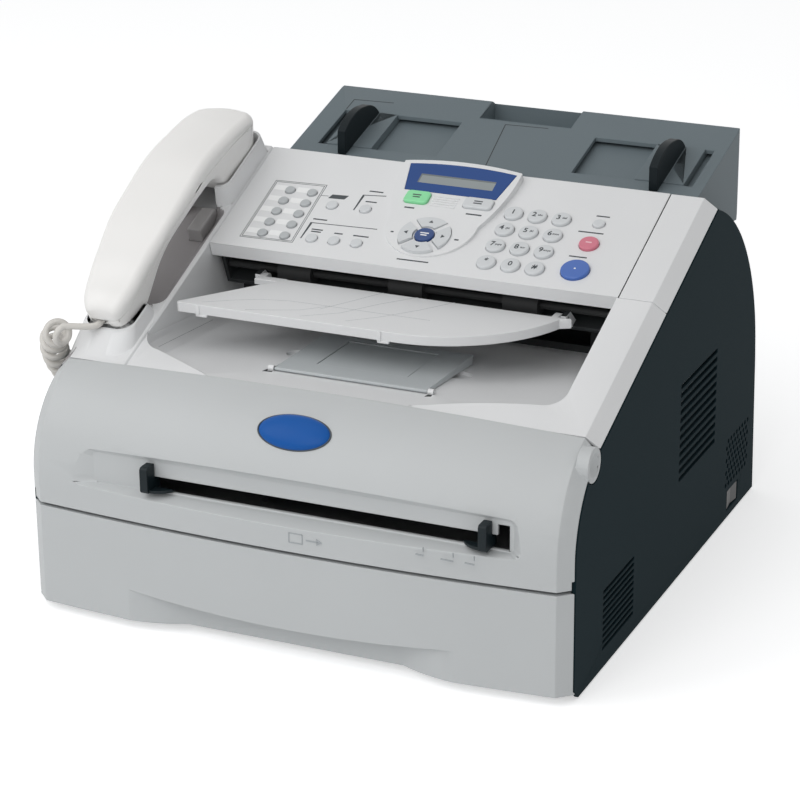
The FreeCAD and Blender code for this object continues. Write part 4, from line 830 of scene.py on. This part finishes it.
# The digit keys: height of their faces, shifts of digit and letters, columns, rows, and the print on each
KEY_TOP = 2.22
DIGIT_LEFT, DIGIT_UP = 1.9, 0.3
LETTERS_RIGHT, LETTERS_UP = 2.3, 0.2
KEYPAD_X = (57.7, 74.3, 91.0)
KEYPAD_S = (192.3, 175.5, 158.6, 141.6)
KEYPAD = (
    ("digit_key_1", "1", ""),
    ("digit_key_2", "2", "abc"),
    ("digit_key_3", "3", "def"),
    ("digit_key_4", "4", "ghi"),
    ("digit_key_5", "5", "jkl"),
    ("digit_key_6", "6", "mno"),
    ("digit_key_7", "7", "pqrs"),
    ("digit_key_8", "8", "tuv"),
    ("digit_key_9", "9", "wxyz"),
    ("star_key", "*", ""),
    ("digit_key_0", "0", ""),
    ("hash_key", "#", ""),
)
# Plain marks on other keys: node, finish, place, height, and bars as start, rise and width
KEY_MARKS = (
    ("menu_key", "white_ink", NAV, 3.68, ((-3.0, 0.9, 6.0), (-2.2, -1.2, 4.4))),
    ("stop_key", "red_mark", (117.0, 172.0), 2.2, ((-2.0, 0.0, 4.0),)),
    ("start_key", "white_ink", (117.0, 145.3), 2.2, ((-0.6, 0.0, 1.2),)),
    ("fax_mode_key", "ink", (-10.1, 192.7), 5.68, ((-3.4, 1.0, 6.0), (-2.6, -1.2, 5.0))),
    ("copy_mode_key", "ink", (33.0, 193.5), 5.68, ((-3.0, 1.0, 6.0), (-3.0, -1.2, 6.0))),
)


class FAX_OT_keys(FaxOperator, bpy.types.Operator):
    """Keys with their digits"""

    bl_idname = "fax.keys"
    bl_label = "Keys"

    def execute(self, context):
        for node in PLAIN_KEYS:
            moulding(node, "key", 0)
        for node, finish in KEY_FINISH.items():
            moulding(node, finish, 0)
        self.digits(context.scene.fax_sizes)
        self.arrows()
        self.key_marks()
        return {"FINISHED"}

    def digits(self, sizes):
        """The digit, and the usual letters beside it, on each key of the keypad."""
        for i, (node, sign, letters) in enumerate(KEYPAD):
            x, s = KEYPAD_X[i % 3], KEYPAD_S[i // 3]
            shift = DIGIT_LEFT if letters else 0.0
            mesh = lettering(sign, sizes.digit, on_slope(x - shift, s + DIGIT_UP, KEY_TOP))
            piece(node + "_digit", mesh, node, "ink")
            if letters:
                place = on_slope(x + LETTERS_RIGHT, s + LETTERS_UP, KEY_TOP)
                mesh = lettering(letters, sizes.letter, place)
                piece(node + "_letters", mesh, node, "ink")

    def arrows(self):
        """A small triangle on each arrow key."""
        bm = bmesh.new()
        for turn in range(4):
            a = turn * math.pi / 2
            out = Vector((math.cos(a), math.sin(a)))
            across = Vector((-math.sin(a), math.cos(a))) * 1.6
            tip = Vector(NAV) + out * (ARROW_OUT + 1.5)
            foot = Vector(NAV) + out * (ARROW_OUT - 1.0)
            plaque(bm, (tip, foot + across, foot - across), ARROW_H)
        piece("arrow_marks", mesh_from(bm, "arrow_marks", SLOPE), "arrow_keys", "ink")

    def key_marks(self):
        """Plain marks on the middle key and on the stop, start and mode keys."""
        for node, finish, (x, s), top, bars in KEY_MARKS:
            bm = bmesh.new()
            h = [top + reach for reach in PRINT_H]
            for start, rise, width in bars:
                stroke(bm, (x + start, s + rise), (x + start + width, s + rise), 1.0, h)
            piece(node + "_mark", mesh_from(bm, node + "_mark", SLOPE), node, finish)


# Handset: its middle, its mouth and ear cups as s and height, and rings of sound holes as radius and count
HANDSET_X = -158.7
SOUND_CUPS = ((44.0, 0.0), (199.0, -1.0))
SOUND_RINGS = ((0.0, 1), (3.0, 6), (6.0, 12))
SOUND_HOLE = 0.7
SOUND_H = (-0.06, 0.4)
# Where the cord leaves the handset, as x and height over the slope, and the control points of the line its
# curls wind round: two given by s, and the rest as x, y and z
CORD_PLACE = (HANDSET_X - 3.0, 11.5)
CORD_LEAD_S = (31.0, 17.0)
CORD_AXIS = (
    (-165.0, -133.0, 169.5),
    (-177.0, -132.0, 171.5),
    (-192.0, -125.0, 170.0),
    (-199.0, -114.0, 150.0),
    (-199.0, -97.0, 130.0),
    (-199.0, -72.0, 114.0),
    (-199.0, -44.0, 104.0),
    (-199.0, -12.0, 97.5),
    (-199.0, 24.0, 95.0),
    (-198.5, 52.0, 96.5),
    (-196.0, 72.0, 100.0),
)
CURL_TURNS = 36
CURL_LOOSEN = 1.2
CURL_PHASE = 0.5
CURL_LEAD = 28.0 * MM
CURL_TAIL = 6.0 * MM
# The first curls grow from this share of the full radius, at this rate along the curled length
CURL_START = 0.6
CURL_GROWTH = 5.0
# A direction that is nowhere along the line, from which the curls count their turns
CURL_UP = Vector((0.12, 0.18, 1.0))
# Control points for each turn, and how far inside them the smooth wire runs
CURL_POINTS = 14
CURL_SHRINK = 0.975
# Control points of the plain leads: distances out of the handset, the first curl point used after them, and
# places from the last curl to the jack, whose middle is given as y and z
HANDSET_LEAD = (0.0, 4.0, 12.0)
CURL_FIRST = 11
JACK = (84.0, 100.0)
JACK_LEAD = (
    (-204.3, 70.0, 93.5),
    (-201.5, 78.5, 92.5),
    (-197.0, 84.0, 97.0),
    (-191.5, 84.5, 100.0),
    (-187.0, *JACK),
    (-183.0, *JACK),
    (-179.2, *JACK),
)
# The jack's pieces on the left side: name, finish, x, half sizes along y and z, and edge rounding
JACK_PIECES = (
    ("jack_plate", "dark", (-185.4, -183.4), 10.0, 9.0, 1.0),
    ("jack_socket", "black", (-185.5, -185.2), 6.4, 5.4, 0.1),
    ("cord_plug", "cord", (-190.6, -185.3), 4.4, 3.4, 0.8),
)


def nurbs(name, points, order, resolution):
    """A spline curve that starts at the first and ends at the last of its control points."""
    curve = bpy.data.curves.new(name, "CURVE")
    curve.dimensions = "3D"
    curve.resolution_u = resolution
    spline = curve.splines.new("NURBS")
    spline.points.add(len(points) - 1)
    for control, point in zip(spline.points, points):
        control.co = (*point, 1)
    spline.order_u = order
    spline.use_endpoint_u = True
    return curve


def axis_points():
    """Points along the line that the curls wind round."""
    x, h = CORD_PLACE
    start = [SLOPE @ (Vector((x, s, h)) * MM) for s in CORD_LEAD_S]
    curve = nurbs("cord_axis", start + [Vector(p) * MM for p in CORD_AXIS], 3, 40)
    mesh = mesh_of_curve(curve)
    points = [vertex.co.copy() for vertex in mesh.vertices]
    bpy.data.meshes.remove(mesh)
    return points


class FAX_OT_handset(FaxOperator, bpy.types.Operator):
    """Handset and hook switch"""

    bl_idname = "fax.handset"
    bl_label = "Handset"

    def execute(self, context):
        sizes = context.scene.fax_sizes
        for node in ("handset_back", "handset_face"):
            moulding(node, "handset", sizes.edge, 38.0)
        moulding("hook_switch", "hook", sizes.fine_edge)
        self.sound_holes()
        self.cord(sizes)
        self.jack()
        return {"FINISHED"}

    def jack(self):
        """A plate with a socket on the left side cover, and the clip-in plug at the cord's end."""
        y, z = JACK
        for name, finish, x, half_y, half_z, edge in JACK_PIECES:
            bm = bmesh.new()
            bar(bm, x, (y - half_y, y + half_y), (z - half_z, z + half_z))
            soften(bm, edge)
            piece(name, mesh_from(bm, name), "machine_body", finish)

    def sound_holes(self):
        """Dark holes in the ear and mouth cups."""
        bm = bmesh.new()
        for s, top in SOUND_CUPS:
            h = [top + reach for reach in SOUND_H]
            for ring, count in SOUND_RINGS:
                for x, y in ring_points(HANDSET_X, s, ring, count):
                    plaque(bm, ring_points(x, y, SOUND_HOLE, 10), h)
        # The holes are near black discs: painted shade
        piece("sound_holes", mesh_from(bm, "sound_holes", SLOPE), "handset", "engraved")

    def cord(self, sizes):
        """One unbroken wire: a straight lead, curls wound round a hanging line, and a lead to the jack."""
        line = axis_points()
        reach = [0.0]
        for a, b in zip(line, line[1:]):
            reach.append(reach[-1] + (b - a).length)

        def curl(f):
            """A control point at the fraction f of the curled length."""
            d = CURL_LEAD + (reach[-1] - CURL_LEAD - CURL_TAIL) * f
            i = next(k for k in range(1, len(reach)) if reach[k] >= d)
            t = (line[i] - line[i - 1]).normalized()
            p = line[i - 1] + t * (d - reach[i - 1])
            side = t.cross(CURL_UP).normalized()
            up = side.cross(t).normalized()
            r = sizes.curl * min(1.0, CURL_START + CURL_GROWTH * f) / CURL_SHRINK
            a = 2 * math.pi * (CURL_TURNS * f**CURL_LOOSEN + CURL_PHASE)
            return p + side * (r * math.cos(a)) + up * (r * math.sin(a))

        away = (SLOPE.to_3x3() @ Vector((0, -1, 0))).normalized()
        steps = CURL_POINTS * CURL_TURNS
        points = [line[0] + away * d * MM for d in HANDSET_LEAD]
        points += [curl((i / steps) ** (1 / CURL_LOOSEN)) for i in range(CURL_FIRST, steps + 1)]
        points += [Vector(p) * MM for p in JACK_LEAD]
        curve = nurbs("handset_cord_wire", points, 3, 3)
        curve.bevel_depth = sizes.cord / 2
        curve.bevel_resolution = 2
        obj = bpy.data.objects.new("handset_cord_wire", curve)
        bpy.context.scene.collection.objects.link(obj)
        curve.materials.append(FINISH["cord"])
        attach(obj, "machine_body")
        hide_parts("handset_cord")


# Stage: floor, lights and camera

CAMERA_PLACE = Vector((0.7065, -1.5917, 0.7890))
CAMERA_TARGET = Vector((-0.00438, -0.00141, 0.10592))
CAMERA_ROLL = math.radians(-0.53)
CAMERA_LENS = 127.3
# Middle of the machine that the lamps face, and each lamp's place and size in metres
LAMP_AIM = Vector((0, 0, 0.12))
KEY_LIGHT = ((-0.9, -0.8, 1.1), 0.9)
FILL_LIGHT = ((0.1, -2.2, 1.6), 1.8)
TOP_LIGHT = ((-0.5, -0.6, 2.4), 1.6)
# Half the floor's width, and how much white the floor adds where the camera sees it
FLOOR_HALF = 12.0
FLOOR_LIFT = 0.5


class FAX_OT_stage(FaxOperator, bpy.types.Operator):
    """Floor, lights and camera"""

    bl_idname = "fax.stage"
    bl_label = "Stage"

    def execute(self, context):
        scene = context.scene
        stage = scene.fax_stage
        scene.view_settings.view_transform = "Standard"
        self.floor(scene, stage)
        self.world(scene, stage)
        self.lamp("key_light", *KEY_LIGHT, stage.key)
        self.lamp("fill_light", *FILL_LIGHT, stage.fill)
        self.lamp("top_light", *TOP_LIGHT, stage.top)
        self.camera(scene)
        return {"FINISHED"}

    def camera(self, scene):
        """A long lens at the photographer's place."""
        lens = bpy.data.cameras.new("camera")
        lens.lens = CAMERA_LENS
        lens.sensor_width = 36.0
        lens.clip_end = 50
        camera = bpy.data.objects.new("camera", lens)
        scene.collection.objects.link(camera)
        aim = (CAMERA_TARGET - CAMERA_PLACE).to_track_quat("-Z", "Y") @ Quaternion((0, 0, 1), CAMERA_ROLL)
        camera.location = CAMERA_PLACE
        camera.rotation_euler = aim.to_euler()
        scene.camera = camera

    def background_rays(self, tree):
        """One for rays that show the pale background: seen, mirrored or through glass."""
        rays = add(tree, "ShaderNodeLightPath").outputs
        links = {0: rays["Is Camera Ray"], 1: rays["Is Glossy Ray"]}
        seen = add(tree, "ShaderNodeMath", links, operation="MAXIMUM").outputs[0]
        links = {0: seen, 1: rays["Is Transmission Ray"]}
        return add(tree, "ShaderNodeMath", links, operation="MAXIMUM").outputs[0]

    def floor(self, scene, stage):
        """A pale floor that keeps the machine's shadow."""
        bm = bmesh.new()
        bmesh.ops.create_grid(bm, x_segments=1, y_segments=1, size=FLOOR_HALF)
        mesh = mesh_from(bm, "floor")
        floor = bpy.data.objects.new("floor", mesh)
        scene.collection.objects.link(floor)
        material, tree = new_material("pale_floor")
        seen = self.background_rays(tree)
        lift = add(tree, "ShaderNodeMapRange", {"Value": seen}, To_Max=FLOOR_LIFT)
        glow = add(tree, "ShaderNodeEmission", {"Strength": lift.outputs["Result"]}, Color=(1, 1, 1, 1))
        matt = add(tree, "ShaderNodeBsdfDiffuse", Color=rgba(stage.floor))
        both = add(tree, "ShaderNodeAddShader", {0: matt.outputs[0], 1: glow.outputs[0]})
        add(tree, "ShaderNodeOutputMaterial", {"Surface": both.outputs[0]})
        mesh.materials.append(material)

    def world(self, scene, stage):
        """Even white light from all round, and plain white where the camera sees past the floor."""
        world = bpy.data.worlds.new("studio")
        scene.world = world
        world.use_nodes = True
        tree = world.node_tree
        tree.nodes.clear()
        seen = self.background_rays(tree)
        level = add(tree, "ShaderNodeMapRange", {"Value": seen}, To_Min=stage.world, To_Max=1.0)
        back = add(tree, "ShaderNodeBackground", {"Strength": level.outputs["Result"]}, Color=(1, 1, 1, 1))
        add(tree, "ShaderNodeOutputWorld", {"Surface": back.outputs[0]})

    def lamp(self, name, place, size, power):
        """A square soft lamp that faces the machine."""
        light = bpy.data.lights.new(name, "AREA")
        light.size = size
        light.energy = power
        lamp = bpy.data.objects.new(name, light)
        bpy.context.scene.collection.objects.link(lamp)
        lamp.location = place
        lamp.rotation_euler = (LAMP_AIM - Vector(place)).to_track_quat("-Z", "Y").to_euler()


class FAX_PT_sidebar(bpy.types.Panel):
    """Buttons that build the machine's pieces"""

    bl_label = "Fax machine"
    bl_idname = "FAX_PT_sidebar"
    bl_space_type = "VIEW_3D"
    bl_region_type = "UI"
    bl_category = "Fax"

    def draw(self, context):
        column = self.layout.column()
        for operator in OPERATORS:
            column.operator(operator.bl_idname)


GROUPS = {"fax_colours": FaxColours, "fax_sizes": FaxSizes, "fax_stage": FaxStage}
OPERATORS = (
    FAX_OT_body,
    FAX_OT_works,
    FAX_OT_panel,
    FAX_OT_support,
    FAX_OT_keys,
    FAX_OT_handset,
    FAX_OT_stage,
)


def register():
    """Adds the settings, the operators and the sidebar."""
    for group in GROUPS.values():
        bpy.utils.register_class(group)
    for name, group in GROUPS.items():
        setattr(bpy.types.Scene, name, bpy.props.PointerProperty(type=group))
    for operator in OPERATORS:
        bpy.utils.register_class(operator)
    bpy.utils.register_class(FAX_PT_sidebar)


def unregister():
    """Takes them away again, in the opposite order."""
    bpy.utils.unregister_class(FAX_PT_sidebar)
    for operator in reversed(OPERATORS):
        bpy.utils.unregister_class(operator)
    for name, group in GROUPS.items():
        delattr(bpy.types.Scene, name)
        bpy.utils.unregister_class(group)


def main():
    """Builds the machine and its stage."""
    register()
    finishes()
    bpy.ops.fax.body()
    bpy.ops.fax.works()
    bpy.ops.fax.panel()
    bpy.ops.fax.support()
    bpy.ops.fax.keys()
    bpy.ops.fax.handset()
    bpy.ops.fax.stage()


if __name__ == "__main__":
    main()
